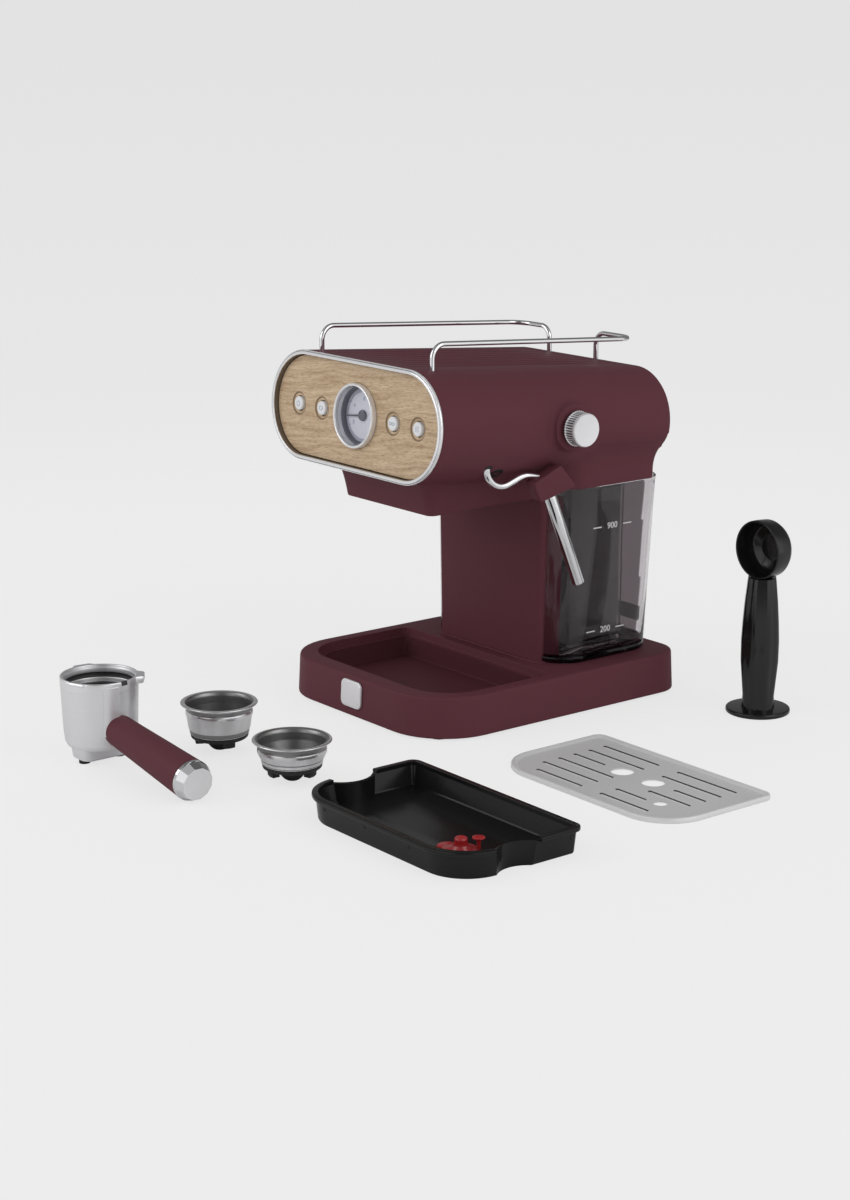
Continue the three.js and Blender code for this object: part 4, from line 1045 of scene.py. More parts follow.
def make_front():
    """The chrome bezel, the wood panel in it and the carrier behind the buttons."""
    bm = bmesh.new()
    profile = [(40.25, 8.0), (40.25, 0.1), (40.4, -0.5), (40.7, -0.75), (41.2, -0.8)]
    profile += [(42.2, -0.7), (42.7, -0.4), (42.8, 0.1), (43.1, 0.2), (43.15, 0.0)]
    profile += [(43.3, -0.1), (43.6, 0.0), (43.85, 0.4), (44.0, 1.0), (43.9, 2.0)]
    profile += [(43.5, 2.5), (41.5, 2.5), (41.5, 8.0), (40.25, 8.0)]
    loops = [loop(bm, upright(stadium(radius, 32), depth)) for radius, depth in profile]
    faces = bridge(bm, loops)
    around = len(loops[0])
    # The groove in the lip takes a dark chrome as painted shade, and the inner wall a brown
    # grey as painted shade and painted reflection of the wood.
    paint(faces[7 * around : 8 * around], 1)
    paint(faces[:around], 2)
    piece(
        "bezel", bm, nose_frame(), ["bright_chrome", "chrome_groove_shade", "bezel_wall_shade"],
        "machine", ["front_bezel"], 50,
    )

    bm = bmesh.new()
    edge = [(40.0, PANEL_BACK), (40.0, 4.8), (39.4, PANEL_DEPTH)]
    loops = [loop(bm, upright(stadium(radius, 32), depth)) for radius, depth in edge]
    # The wood's rounded edge is painted near black: a painted shadow of the bezel round the
    # wood.
    paint(bridge(bm, loops), 1)
    fronts, backs = list(loops[-1]), list(loops[0])
    dish = [(9.4, PANEL_DEPTH), (8.9, 4.25)]
    dish += soften([(8.6, 4.3), (8.0, 4.9), (6.2, 5.7), (5.9, PANEL_BACK)], 0.2, 3)
    holes = [(0.0, [(25.75, PANEL_DEPTH), (25.75, PANEL_BACK)])]
    holes += [(x, dish) for x in BUTTONS_AT]
    for x, run in holes:
        loops = []
        for radius, depth in run:
            ring = arc((x, 0), radius, 0, 352.5, 47)
            loops.append(loop(bm, upright(ring, depth)))
        walls = bridge(bm, loops)
        # The dish's deepest ring is painted near black, painted shade in the gap round the
        # button; its outer rim takes a darker wood, a dark ring that is partly painted shade on
        # the dish's step.
        if x:
            paint(faces_where(walls, lambda at: at.y > 5.75), 1)
            paint(faces_where(walls, lambda at: at.y < 4.85), 2)
        fronts += loops[0]
        backs += loops[-1]
    fill(bm, fronts)
    fill(bm, backs)
    piece(
        "panel", bm, nose_frame(), ["wood", "rubber", "wood_ring_and_shade"], "machine",
        ["wood_panel"],
    )

    bm = bmesh.new()
    plate = [loop(bm, upright(stadium(38.5), depth)) for depth in (7.0, 8.8)]
    bridge(bm, plate)
    for end, depth in zip(plate, (7.0, 8.8)):
        rings = [loop(bm, upright(arc((0, 0), 24.4, 0, 352.5, 47), depth))]
        for x in BUTTONS_AT:
            rings.append(loop(bm, upright(arc((x, 0), 6.3, 0, 345, 23), depth)))
        fill(bm, end + [edge for ring in rings for edge in ring])
    piece(
        "carrier", bm, nose_frame(), ["black_plastic"], "machine",
        ["button_carrier"],
    )


def stroke(bm, points, width, depth, rise=0.06):
    """A flat raised line along points of the X-Z plane, facing the front."""
    points = [Vector(point) for point in points]
    left, right = [], []
    for i, here in enumerate(points):
        along = points[min(i + 1, len(points) - 1)] - points[max(i - 1, 0)]
        across = Vector((-along.y, along.x)).normalized() * width / 2
        left.append(here + across)
        right.append(here - across)
    slab(bm, upright(left + right[::-1], depth), (0, -rise, 0))


def written(bm, text, height, matrix, rise=0.12):
    """Plain figures as a thin raised mesh."""
    curve = bpy.data.curves.new(text, "FONT")
    curve.body = text
    curve.size = height
    curve.align_x = "CENTER"
    curve.align_y = "CENTER"
    curve.resolution_u = 3
    curve.extrude = rise / 2
    holder = bpy.data.objects.new(text, curve)
    mesh = bpy.data.meshes.new_from_object(holder)
    before = set(bm.verts)
    bm.from_mesh(mesh)
    fresh = [vert for vert in bm.verts if vert not in before]
    bmesh.ops.transform(bm, matrix=matrix, verts=fresh)
    bpy.data.objects.remove(holder)
    bpy.data.curves.remove(curve)
    bpy.data.meshes.remove(mesh)


def make_gauge():
    """The round gauge: its ring, case, dial, needle and lens."""
    bm = bmesh.new()
    ring = [(23.0, PANEL_DEPTH), (23.0, 0.4), (23.6, -0.5), (24.9, -0.5), (25.5, 0.3)]
    ring = soften([*ring, (25.5, PANEL_DEPTH)], 0.5)
    turned(bm, ring + [ring[0]], TOWARD, 96)
    piece(
        "gauge_ring", bm, nose_frame(), ["bright_chrome"], "machine",
        ["gauge_bezel"], 50,
    )

    bm = bmesh.new()
    # The cup's wall is one chrome: its front band takes the brighter silver as a painted
    # highlight, and its deeper part a dark blue grey as painted shade round the dial.
    turned(bm, [(22.95, 1.0), (22.9, 1.4), (22.6, 6.4), (22.6, 6.6)], TOWARD, 96)
    bright = list(bm.faces)
    turned(bm, [(22.6, 6.6), (22.0, 7.2), (21.4, 10.5), (0, 10.9)], TOWARD, 96)
    turned(bm, [(22.95, 1.0), (23.9, 1.0), (23.9, 13.0), (0, 13.0)], TOWARD, 96)
    paint(bm.faces, 1)
    paint(bright, 0)
    piece(
        "gauge_cup", bm, nose_frame(), ["silver", "gauge_wall_shade"], "machine",
        ["gauge_case"],
    )

    bm = bmesh.new()
    disc = [(0, 10.3), (17.4, 10.3), (18.9, 10.3), (20.3, 10.3), (20.6, 11.4), (0, 11.4)]
    turned(bm, soften(disc, 0.2), TOWARD, 96)
    face = list(bm.faces)
    # A ring of darker grey at the dial's edge: painted shade of the cup's wall on the dial.
    edge = faces_where(face, lambda at: at.xz.length > 17.9)
    for i in range(25):
        turn = math.radians(-30 + 240 * i / 24)
        start, width = (16.2, 0.55) if i % 6 == 0 else (17.4, 0.3)
        way = Vector((math.cos(turn), math.sin(turn)))
        stroke(bm, [way * start, way * 18.8], width, 10.3)
    for i, figure in enumerate(("16", "12", "8", "4", "0")):
        turn = math.radians(-30 + 60 * i)
        at = Matrix.Translation((12.6 * math.cos(turn), 10.25, 12.6 * math.sin(turn)))
        written(bm, figure, 4.6, at @ FACING)
    paint(bm.faces, 1)
    paint(face, 0)
    paint(edge, 2)
    piece(
        "dial", bm, nose_frame(), ["dial", "icon", "dial_edge_shade"], "machine",
        ["gauge_dial"],
    )

    bm = bmesh.new()
    hub = soften([(0, 8.4), (3.6, 8.4), (4.2, 8.9), (4.2, 9.9), (0, 9.9)], 0.3)
    turned(bm, hub, TOWARD, 40)
    pointer = [(2.5, -1.0), (2.5, 1.0), (-6, 0.75), (-19.6, 0.4), (-19.6, -0.4), (-6, -0.75)]
    lean = Matrix.Rotation(math.radians(-6.5), 4, "Y")
    slab(bm, [lean @ Vector(point) for point in upright(pointer, 8.8)], (0, 0.45, 0))
    piece("pointer", bm, nose_frame(), ["needle"], "needle", ["gauge_needle"])

    bm = bmesh.new()
    turned(bm, soften([(0, 1.7), (22.4, 1.9), (22.7, 2.9), (0, 2.7)], 0.3), TOWARD, 64)
    piece("lens_glass", bm, nose_frame(), ["lens"], "machine", ["gauge_lens"])


def cup_icon(bm, x, size, depth):
    """A small cup with its handle."""
    outline = [(-1.3, 0.9), (-1.0, -0.7), (-0.4, -1.1), (0.4, -1.1), (1.0, -0.7), (1.3, 0.9)]
    stroke(bm, [(x + a * size, b * size) for a, b in [*outline, outline[0]]], 0.5, depth)
    handle = arc((x + 1.25 * size, 0.1 * size), 0.55 * size, 80, -80, 6)
    stroke(bm, handle, 0.45, depth)


def single_cup_icon(bm, depth):
    """One large cup."""
    cup_icon(bm, -0.3, 1.5, depth)


def double_cup_icon(bm, depth):
    """Two small cups side by side."""
    cup_icon(bm, -1.9, 1.0, depth)
    cup_icon(bm, 1.5, 1.0, depth)


def power_icon(bm, depth):
    """A broken ring with an upright bar."""
    stroke(bm, arc((0, -0.2), 2.0, 125, 415, 20), 0.5, depth)
    stroke(bm, [(0, 0.4), (0, 2.5)], 0.5, depth)


def steam_icon(bm, depth):
    """Three wavy lines."""
    for x in (-1.5, 0, 1.5):
        wave = [(x + 0.45 * math.sin(i * 0.8), -2.2 + i * 0.37) for i in range(13)]
        stroke(bm, wave, 0.36, depth)


def make_buttons():
    """The four push buttons, each with its small mark."""
    marks = {
        "button_power": power_icon,
        "button_single_cup": single_cup_icon,
        "button_double_cup": double_cup_icon,
        "button_steam": steam_icon,
    }
    for x, (name, draw) in zip(BUTTONS_AT, marks.items()):
        bm = bmesh.new()
        profile = soften([(0, 3.2), (4.9, 3.3), (5.5, 3.8), (5.6, 11.5), (0, 11.5)], 0.4)
        turned(bm, profile, TOWARD, 48)
        face = list(bm.faces)
        draw(bm, 3.26)
        paint(bm.faces, 1)
        paint(face, 0)
        bmesh.ops.translate(bm, verts=bm.verts, vec=(x, 0, 0))
        piece(
            name + "_cap", bm, nose_frame(), ["white_plastic", "icon"], name,
            [name],
        )


# ------------------------------------------------------------------------------ steam


def fluted(bm, x, radius, depth, count, matrix):
    """A loop with grooves round it, at a distance along the turning axis."""
    points = []
    for i in range(count * 4):
        turn = 2 * math.pi * i / (count * 4)
        reach = radius - depth * (1, 0.5, 0, 0.5)[i % 4]
        points.append(matrix @ Vector((reach * math.cos(turn), reach * math.sin(turn), x)))
    return loop(bm, points)


def make_knob(sizes):
    """The steam knob: a knurled flange, a fluted grip and a flat bright face."""
    turn = Matrix.Rotation(math.pi / 2, 4, "Y")
    grooves = sizes.knob_grooves
    bm = bmesh.new()
    profile = [
        (114.5, 12.0, 0.0), (115.6, 12.4, 0.0), (115.8, 13.9, 0.3), (116.2, 14.1, 0.5),
        (118.2, 14.1, 0.5), (118.5, 13.8, 0.4), (118.8, 13.3, 0.2), (119.0, 13.3, 0.5),
        (125.6, 13.2, 0.5), (126.8, 13.2, 0.2), (127.8, 13.1, 0.0), (128.6, 12.5, 0.0),
    ]
    loops = [fluted(bm, x, radius, depth, grooves, turn) for x, radius, depth in profile]
    bridge(bm, loops)
    cap(bm, loops[0])
    bmesh.ops.inset_region(bm, faces=cap(bm, loops[-1]), thickness=1.2, depth=0.12)
    flange = faces_where(bm.faces, lambda at: 115.7 < at.x < 118.3)
    grip = faces_where(bm.faces, lambda at: at.x > 118.3)
    # The flange's valleys take a dark chrome and the grip's grooves a dark grey: painted shade
    # in the grooves.
    paint(faces_where(flange, lambda at: at.yz.length < 13.78), 1)
    paint(grip, 2)
    paint(faces_where(grip, lambda at: at.x < 126 and at.yz.length < 13.05), 3)
    piece(
        "knob_grip", bm, machine_frame(KNOB_AT),
        ["chrome", "chrome_groove_shade", "silver", "knob_groove_shade"], "knob",
        ["steam_knob"],
    )


def make_wand(sizes):
    """The steam wand: its bent tube, its grip and the frothing sleeve."""
    turn = Matrix.Rotation(math.radians(-7), 4, "Z")
    place = machine_frame(WAND_AT, turn)
    bm = bmesh.new()
    corners = [(0, 0.5, 222), (0, 0.5, 187.7), (0, 35.1, 202), (0, 48, 198.6)]
    pipe(bm, corners, (14.3, 22), sizes.wand_tube / 2 / MM)
    piece("wand_tube", bm, place, ["chrome"], "wand", ["steam_tube"], 60)

    bm = bmesh.new()
    seal = soften([(0, -3.0), (6.2, -3.0), (6.2, 0.0), (5.6, 0.5), (4.6, 0.3), (0, 0.2)], 0.3)
    outward = Vector(SEAL_WAY).to_track_quat("Z", "Y").to_matrix().to_4x4()
    turned(bm, seal, Matrix.Translation(SEAL_AT) @ outward, 40)
    piece("wand_seal", bm, nose_frame(), ["tray_mark"], "machine")

    bm = bmesh.new()
    outline = [(38.4, 195.6), (44.9, 180.2), (78.0, 190.0), (63.2, 208.0)]
    centre = (57.0, 193.6)
    loops = []
    for inset, x in ((1.0, -4.2), (0.3, -3.9), (0.0, -3.2), (0.0, 8.0), (0.3, 8.7), (1.0, 9.0)):
        share = 1 - inset / 14
        points = [
            (x, centre[0] + (y - centre[0]) * share, centre[1] + (z - centre[1]) * share)
            for y, z in outline
        ]
        points += points[:2]
        corners = []
        for around in zip(points, points[1:], points[2:]):
            corners += soften(around, 2.2)[1:-1]
        loops.append(loop(bm, corners))
    skin(bm, loops)
    piece("grip_block", bm, place, ["burgundy"], "wand", ["wand_grip"])

    bm = bmesh.new()
    lean = Matrix.Translation((2, 56.1, 187)) @ Matrix.Rotation(math.radians(21.2), 4, "X")
    run = [(0, 2), (4.9, 2), (4.9, -82.3), (3.7, -82.3), (3.4, -76.0), (0, -76.0)]
    turned(bm, soften(run, 0.6, 3), lean, 48)
    for height in (-0.6, -2.0):
        turned(bm, arc((4.8, height - 1.2), 0.5, 90, -90, 6), lean, 48)
    piece("sleeve", bm, place, ["chrome"], "wand", ["froth_sleeve"], 50)


# ------------------------------------------------------------------------------ tank


def tank_outline(half, inset=0.0):
    """The tank in plan: round outer corners and a channel for the tower at its front."""
    rear, front, corner = 122.7 - inset, 12.2 + inset, 30 - inset
    half -= inset
    channel, depth = 57.2 + inset, 104.2 + inset
    bow = half - channel - 0.6
    right = [(channel, front + 0.5)]
    right += arc((half - bow, front + bow), bow, -90, 0, 14)
    right += arc((half - corner, rear - corner), corner, 0, 90, 14)
    inner = arc((-channel + 6, depth - 6), 6, 180, 90, 5)
    inner += arc((channel - 6, depth - 6), 6, 90, 0, 5)
    return right + mirrored(right) + inner


def make_tank(sizes):
    """The clear water tank with its thick foot and its level marks."""
    bm = bmesh.new()
    wall = sizes.tank_wall / MM

    def half_at(z):
        return TANK_HALF + (z - TANK_FOOT) / TANK_RISE * TANK_SPREAD

    outer = [(1.6, TANK_FOOT), (0.5, 35.3), (0.0, 36.6), (0.0, 38.6), (0.35, 39.2)]
    outer += [(0.35, 41.0), (0.35, 90.0), (0.35, 140.0), (0.35, 177.8), (0.0, 178.2)]
    outer += [(0.0, 180.9)]
    inner = [(wall, 181.2), (wall, 140.0), (wall, 90.0), (wall, 42.0)]
    inner += [(wall + 0.6, 39.6), (wall + 2.5, 38.2)]
    run = outer + inner
    skin(bm, [loop(bm, level(tank_outline(half_at(z), inset), z)) for inset, z in run])
    ledge = [(62, 122.45), (61, 126.9), (-61, 126.9), (-62, 122.45)]
    slab(bm, level(ledge, 49.9), (0, 0, 12))
    # The rear wall and the thick foot take a darker clear plastic: painted shade in the clear
    # tank.
    rear = faces_where(
        bm.faces, lambda at: at.y > 116 and abs(at.x) < 64 and 41 < at.z < 179
    )
    paint(rear + faces_where(bm.faces, lambda at: at.z < 41), 1)
    piece(
        "tank", bm, machine_frame(), ["clear_plastic", "shaded_clear_plastic"], "tank",
        ["tank_shell"], 40,
    )

    bm = bmesh.new()
    lean = math.atan(TANK_SPREAD / TANK_RISE)
    upright_turn = Matrix.Rotation(math.pi / 2, 4, "Z") @ FACING
    for figure, z in (("900", 147.0), ("200", 59.5)):
        at = Matrix.Translation((half_at(z) - 0.2, 61.0, z)) @ Matrix.Rotation(lean, 4, "Y")
        at = at @ upright_turn
        written(bm, figure, 7.4, at, 0.3)
        for side in SIDES:
            near, far = side * 11.5, side * 20.5
            dash = [(near, -0.45), (far, -0.45), (far, 0.45), (near, 0.45)]
            slab(bm, [at @ Vector(point) for point in level(dash, 0.1)], (0.12, 0, 0))
    piece("level_marks", bm, machine_frame(), ["print_white"], "tank")


# ------------------------------------------------------------------------------ tray and grille


def tray_corner(inset, end):
    """The tray's front right corner in plan, up to a depth."""
    radius = TRAY_FRONT_CORNER - inset
    middle = (TRAY_HALF - TRAY_FRONT_CORNER, TRAY_FRONT_CORNER - TRAY_REACH)
    turn = math.degrees(math.asin(min(0.0, (end - middle[1]) / radius)))
    return arc(middle, radius, -90, turn, 12)


def tray_plan(inset, rear_corner, steps):
    """The tray and the grille in plan, without the finger notches."""
    return rounded(
        TRAY_HALF - inset, inset - TRAY_REACH, TRAY_REACH - inset,
        TRAY_FRONT_CORNER - inset, rear_corner, steps,
    )


def tray_rear(inset):
    """The tray's two rear corners in plan."""
    points = tray_plan(inset, max(TRAY_REAR_CORNER - inset, 1.5), 12)
    quarter = len(points) // 4
    return points[quarter : 3 * quarter]


def tray_outline(inset=0.0, notch=0.0):
    """The tray in plan, with a round notch in each end."""
    round_notch = (NOTCH_HALF**2 + NOTCH_DEPTH**2) / (2 * NOTCH_DEPTH)
    radius = round_notch + notch
    middle = TRAY_HALF - NOTCH_DEPTH + round_notch
    edge = TRAY_HALF - inset
    half = math.degrees(math.acos((middle - edge) / radius))
    notch_run = arc((middle, -3), radius, 180 + half, 180 - half, 16)
    right = tray_corner(inset, notch_run[0][1] - 0.1) + notch_run
    return right + tray_rear(inset) + mirrored(right)


def rim_strip(bm, points, section_points):
    """A closed rim of a given section along an open run in plan."""
    points = [Vector(point) for point in points]
    loops = []
    for i, here in enumerate(points):
        along = points[min(i + 1, len(points) - 1)] - points[max(i - 1, 0)]
        out = Vector((along.y, -along.x)).normalized()
        ring = [(here.x - out.x * a, here.y - out.y * a, z) for a, z in section_points]
        loops.append(loop(bm, ring))
    skin(bm, loops)


def make_tray():
    """The drip tray, with its rim broken at the finger notches, and its float."""
    bm = bmesh.new()
    outer = [(5.6, 0.0), (4.9, 0.2), (4.3, 1.2), (2.6, 17.0), (2.9, 17.5), (4.2, 17.5)]
    inner = [(4.5, 17.0), (6.0, 3.6), (6.8, 2.4), (8.6, 2.0)]
    loops = [loop(bm, level(tray_outline(inset), z)) for inset, z in outer]
    loops += [loop(bm, level(tray_outline(inset, 2.0), z)) for inset, z in inner]
    skin(bm, loops)
    corner = tray_corner(0.0, -22.5)
    front = mirrored(corner) + corner
    rear = [(TRAY_HALF, 16.5), *tray_rear(0.0), (-TRAY_HALF, 16.5)]
    shape = [(0.3, 16.6), (2.6, 16.4), (4.4, 16.4), (4.8, 17.0), (4.8, 19.5), (4.4, 20.0)]
    shape += [(3.6, 19.8), (0.9, 19.8), (0.25, 19.5), (0.0, 18.8), (0.0, 17.2)]
    for run in (front, rear):
        rim_strip(bm, run, shape)
    body = list(bm.faces)
    wall = 3.2
    marks = [(x, wall - TRAY_REACH, 0.0) for x in (-58.0, -12.0, 37.0)]
    marks.append((TRAY_HALF - wall, 45.5, 90.0))
    square = [(-1.1, -1.1), (1.1, -1.1), (1.1, 1.1), (-1.1, 1.1)]
    for x, y, angle in marks:
        at = Matrix.Translation((x, y, 12.6)) @ Matrix.Rotation(math.radians(angle), 4, "Z")
        mark = loop(bm, [at @ Vector(point) for point in upright(square, 0)])
        cap(bm, extrude(bm, mark, at.to_3x3() @ Vector((0, -0.35, 0))))
    paint(bm.faces, 1)
    paint(body, 0)
    piece(
        "tray", bm, machine_frame(TRAY_AT), ["black_gloss", "tray_mark"], "tray",
        ["drip_tray"], 30,
    )

    bm = bmesh.new()
    middle = (FLOAT_AT[0] - 9, FLOAT_AT[1], 0)
    block = ((0.96, 2.3), (1.0, 2.9), (1.0, 6.6), (0.95, 7.3), (0.86, 7.5))
    prism(bm, rounded(13, -7, 7, 6.8, 6.8, 8), block, Matrix.Translation(middle))
    dome = [(0, 2.3), (7, 2.3), (7, 9.0), (5.2, 11.0), (4.6, 13.0), (4.6, 16.8), (0, 18.3)]
    turned(bm, soften(dome, 1.6, 5), Matrix.Translation((*FLOAT_AT, 0)), 40)
    ring = [(5.0, 7.0), (12.5, 7.0), (13.0, 7.6), (12.2, 8.6), (5.0, 9.8)]
    turned(bm, soften(ring, 0.8, 3), Matrix.Translation((52, FLOAT_AT[1], 0)), 48)
    peg = Matrix.Translation((60, -10.5, 0))
    disc = [(0, 15.9), (1.4, 15.9), (4.4, 15.9), (4.4, 17.1), (0, 17.5)]
    turned(bm, soften(disc, 0.4, 3), peg, 32)
    turned(bm, [(0, 2.3), (1.5, 2.3), (1.3, 16), (0, 16)], peg, 20)
    piece(
        "float", bm, machine_frame(TRAY_AT), ["red_plastic"], "float",
        ["tray_float"], 40,
    )


def slot_outline(start, end, y, half=1.5):
    """A slot with round ends."""
    right = arc((end - half, y), half, -90, 90, 6)
    left = arc((start + half, y), half, 90, 270, 6)
    return right + left


def make_grille():
    """The drip grille: a rolled rim round a dished plate with slots and finger holes."""
    bm = bmesh.new()

    def outline(inset):
        return tray_plan(inset, TRAY_REAR_CORNER - inset * 0.7, 14)

    rim = [(1.2, 0.0), (0.4, 0.1), (0.0, 0.6), (0.0, 2.9), (0.35, 3.7), (1.1, 4.0)]
    rim += [(2.2, 3.95), (3.2, 3.5), (5.0, 2.5), (6.2, 2.1), (7.0, 2.0)]
    loops = [loop(bm, level(outline(inset), z)) for inset, z in rim]
    rim_faces = bridge(bm, loops)
    under = [loop(bm, level(outline(inset), z)) for inset, z in ((1.6, 0.0), (1.8, 0.8))]
    bridge(bm, [loops[0], *under])
    ends = (-70.6, -9.7, 9.7, 70.6)
    spans = (
        (ends[:2], ends[2:]),
        (ends[:2], ends[2:]),
        ((ends[0], -35.5), (38.1, ends[3])),
        (ends[:2], (27.6, ends[3])),
        (ends[:2], (ends[2], 41.5)),
        ((-60, ends[1]), (ends[2], 60)),
    )
    slots = []
    for row, runs in enumerate(spans):
        slots += [slot_outline(start, end, (2.5 - row) * 15.4) for start, end in runs]
    round_holes = [arc((x, 7.7), 8.8, 0, 350, 35) for x in (-16.5, 16.5)]
    round_holes.append(arc(FLOAT_AT, 5.4, 0, 345, 23))
    tops, feet = list(loops[-1]), list(under[-1])
    walls = []
    for hole in slots + round_holes:
        rings = [loop(bm, level(hole, z)) for z in (2.0, 0.8)]
        walls.append(bridge(bm, rings))
        tops += rings[0]
        feet += rings[1]
    fill(bm, tops)
    fill(bm, feet)
    paint(bm.faces, 0)
    paint(rim_faces[: 8 * len(loops[0])], 1)
    # The slots' walls are painted dark grey: painted shade in the slots.
    for faces in walls[: len(slots)]:
        paint(faces, 2)
    piece(
        "grille", bm, machine_frame(GRILLE_AT),
        ["grille_steel", "grille_rim", "grille_slot_shade"], "grille", ["drip_grille"],
        35,
    )


# ------------------------------------------------------------------------------ portafilter


def make_portafilter():
    """The portafilter's cup with its stepped rim, its handle and the handle's cap."""
    bm = bmesh.new()
    wall = [(0, 12), (21.5, 12.0), (25.4, 13.6), (27.0, 16.6), (28.0, 26), (28.9, 50)]
    wall += [(29.2, 58.4), (29.4, 59.2), (29.4, 65.9), (28.9, 66.5), (27.9, 66.5)]
    wall += [(27.4, 66.0), (27.3, 64.6), (26.6, 64.2), (26.4, 60.6), (27.4, 60.0)]
    wall += [(27.4, 57.4), (25.6, 56.8), (25.4, 53.4), (24.6, 52.8), (24.4, 20.0)]
    turned(bm, soften(wall, 0.5, 3), steps=96)
    turned(bm, [(24.4, 20.0), (21, 16.4), (0, 16.0)], steps=96)
    for azimuth, reach, low in ((54, 33.6, 61.0), (174, 32.4, 64.0), (294, 29.9, 64.0)):
        turn = Matrix.Rotation(math.radians(azimuth), 4, "Z")
        edge = reach - 1.6
        lug = [(28.2, -9), (edge, -7.6), (reach, -6), (reach, 6), (edge, 7.6), (28.2, 9)]
        heights = ((0.985, low), (1.0, low + 0.6), (1.0, 65.6), (0.985, 66.3))
        prism(bm, lug, heights, turn)
    turn = Matrix.Rotation(math.radians(-13), 4, "Z")
    pad = [(26.0, -6.4), (29.5, -6.2), (30.0, -5.2), (30.0, 5.2), (29.5, 6.2), (26.0, 6.4)]
    prism(bm, pad, ((1.0, 26), (1.0, 62.2), (1.0, 63.0)), turn)
    spout = ((0.9, 3.0), (0.98, 3.8), (1.0, 5.0), (1.06, 14.0))
    prism(bm, rounded(11, -21, 21, 6, 6, 6), spout)
    # The cup's deep inside and the groove in its rim take the dark dotted finish: painted shade
    # in the cup and the groove.
    deep = faces_where(bm.faces, lambda at: 15.5 < at.z < 53.5 and at.xy.length < 25.6)
    groove = faces_where(
        bm.faces, lambda at: 57.0 < at.z < 60.7 and 26.3 < at.xy.length < 27.6
    )
    paint(deep + groove, 1)
    # A small dark block on the outer wall, in the same dark finish: painted shade standing for
    # a notch in the rim.
    turn = Matrix.Rotation(math.radians(9), 4, "Z")
    notch = [(28.4, -2.6), (29.6, -2.6), (29.6, 2.6), (28.4, 2.6)]
    before = set(bm.faces)
    prism(bm, notch, ((1.0, 63.4), (1.0, 66.65)), turn)
    paint(set(bm.faces) - before, 1)
    piece(
        "cup", bm, machine_frame(PORTAFILTER_AT), ["portafilter_steel", "perforated_and_shade"],
        "portafilter", ["portafilter_cup"], 35,
    )

    slope = Matrix.Rotation(math.radians(7.4), 4, "Y") @ Matrix.Rotation(math.pi / 2, 4, "Y")
    place = machine_frame(PORTAFILTER_AT, Matrix.Translation((29.4, 0, 28.6)) @ slope)
    bm = bmesh.new()
    grip = [(0, -5.4), (10.4, -5.4), (11.6, -4.6), (12.1, -2.4), (12.7, 20)]
    grip += [(14.0, 60), (15.1, 95.6), (0, 95.6)]
    turned(bm, soften(grip, 1.6, 4), steps=72)
    burgundy = list(bm.faces)
    turned(bm, [(0, -8), (11.4, -8), (11.4, -3.6), (0, -3.4)], steps=72)
    paint(bm.faces, 1)
    paint(burgundy, 0)
    piece(
        "handle", bm, place, ["burgundy", "black_plastic"], "portafilter",
        ["portafilter_handle"],
    )

    bm = bmesh.new()
    loops = []
    for radius, x in ((14.8, 95.7), (15.2, 96.1), (15.2, 98.4)):
        loops.append(loop(bm, level(arc((0, 0), radius, 0, 357, 119), x)))
    bridge(bm, loops)
    facets = []
    for radius, x in ((15.1, 98.6), (12.4, 105.4)):
        ring = arc((0, 0), radius, 15, 345, 11)
        points = []
        for here, after in zip(ring, [*ring[1:], ring[0]]):
            step = [(b - a) / 10 for a, b in zip(here, after)]
            points += [(here[0] + step[0] * j, here[1] + step[1] * j, x) for j in range(10)]
        facets.append(loop(bm, points))
    bridge(bm, [loops[-1], *facets])
    cap(bm, loops[0])
    cap(bm, facets[-1])
    paint(faces_where(bm.faces, lambda at: at.z > 105.3), 1)
    piece(
        "cap_end", bm, place, ["chrome", "silver"], "portafilter", ["handle_cap"],
        18,
    )


def make_baskets():
    """The two filter baskets, each on its black foot."""
    for name, at, height, azimuths in (
        ("large", LARGE_BASKET_AT, 38.6, (-128, -8, 112)),
        ("small", SMALL_BASKET_AT, 32.2, (-98, 22, 142)),
    ):
        bm = bmesh.new()
        bead = height - 8.5
        run = [(0, 13.2), (21.6, 13.2), (22.7, 14.2), (23.0, 17.4), (23.7, 18.2)]
        run += [(25.0, bead - 2.5), (25.7, bead - 1.2), (25.7, bead + 1.2)]
        run += [(25.3, bead + 2.6)]
        run += [(26.0, height - 2.2), (28.9, height - 1.7), (29.7, height - 1.0)]
        run += [(29.2, height - 0.2), (27.2, height), (25.6, height - 0.6)]
        run += [(24.7, height - 3.0), (24.4, bead), (22.4, 16.5), (21.0, 14.8)]
        turned(bm, soften(run, 0.7, 3), steps=96)

        def within(at):
            limit = 23.0 + (at.z - 16.5) / (bead - 16.5) * 2.0
            return at.z > 14.3 and at.xy.length < limit

        # The inner wall takes a darker steel with its own lines: painted shade inside the
        # basket.
        inside = faces_where(bm.faces, within)
        turned(bm, [(21.0, 14.8), (0, 14.6)], steps=96)
        bottom = faces_where(bm.faces, lambda at: 14.55 < at.z < 14.85)
        paint(inside, 2)
        paint(bottom, 1)
        piece(
            name + "_cup", bm, machine_frame(at), ["steel", "perforated_and_shade", "basket_inside_shade"],
            name + "_filter", [name + "_basket"], 40,
        )

        bm = bmesh.new()
        foot = [(0, 13.4), (22.2, 13.4), (22.0, 11.2), (20.4, 10.0), (0, 9.8)]
        turned(bm, soften(foot, 0.8, 3), steps=72)
        spout = [(0, 10.2), (13.2, 10.2), (10.6, 7.6), (8.0, 3.4), (4.6, 0.4), (0, 0)]
        turned(bm, soften(spout, 2.4, 4), steps=48)
        leg = [(12.4, -3.6), (18.4, -4.4), (19.2, 0), (18.4, 4.4), (12.4, 3.6)]
        for azimuth in azimuths:
            turn = Matrix.Rotation(math.radians(azimuth), 4, "Z")
            prism(bm, leg, ((1.0, 10.4), (0.985, 6.2), (0.96, 5.4)), turn)
        piece(
            name + "_foot", bm, machine_frame(at), ["black_plastic"], name + "_filter",
            [name + "_basket_base"], 40,
        )


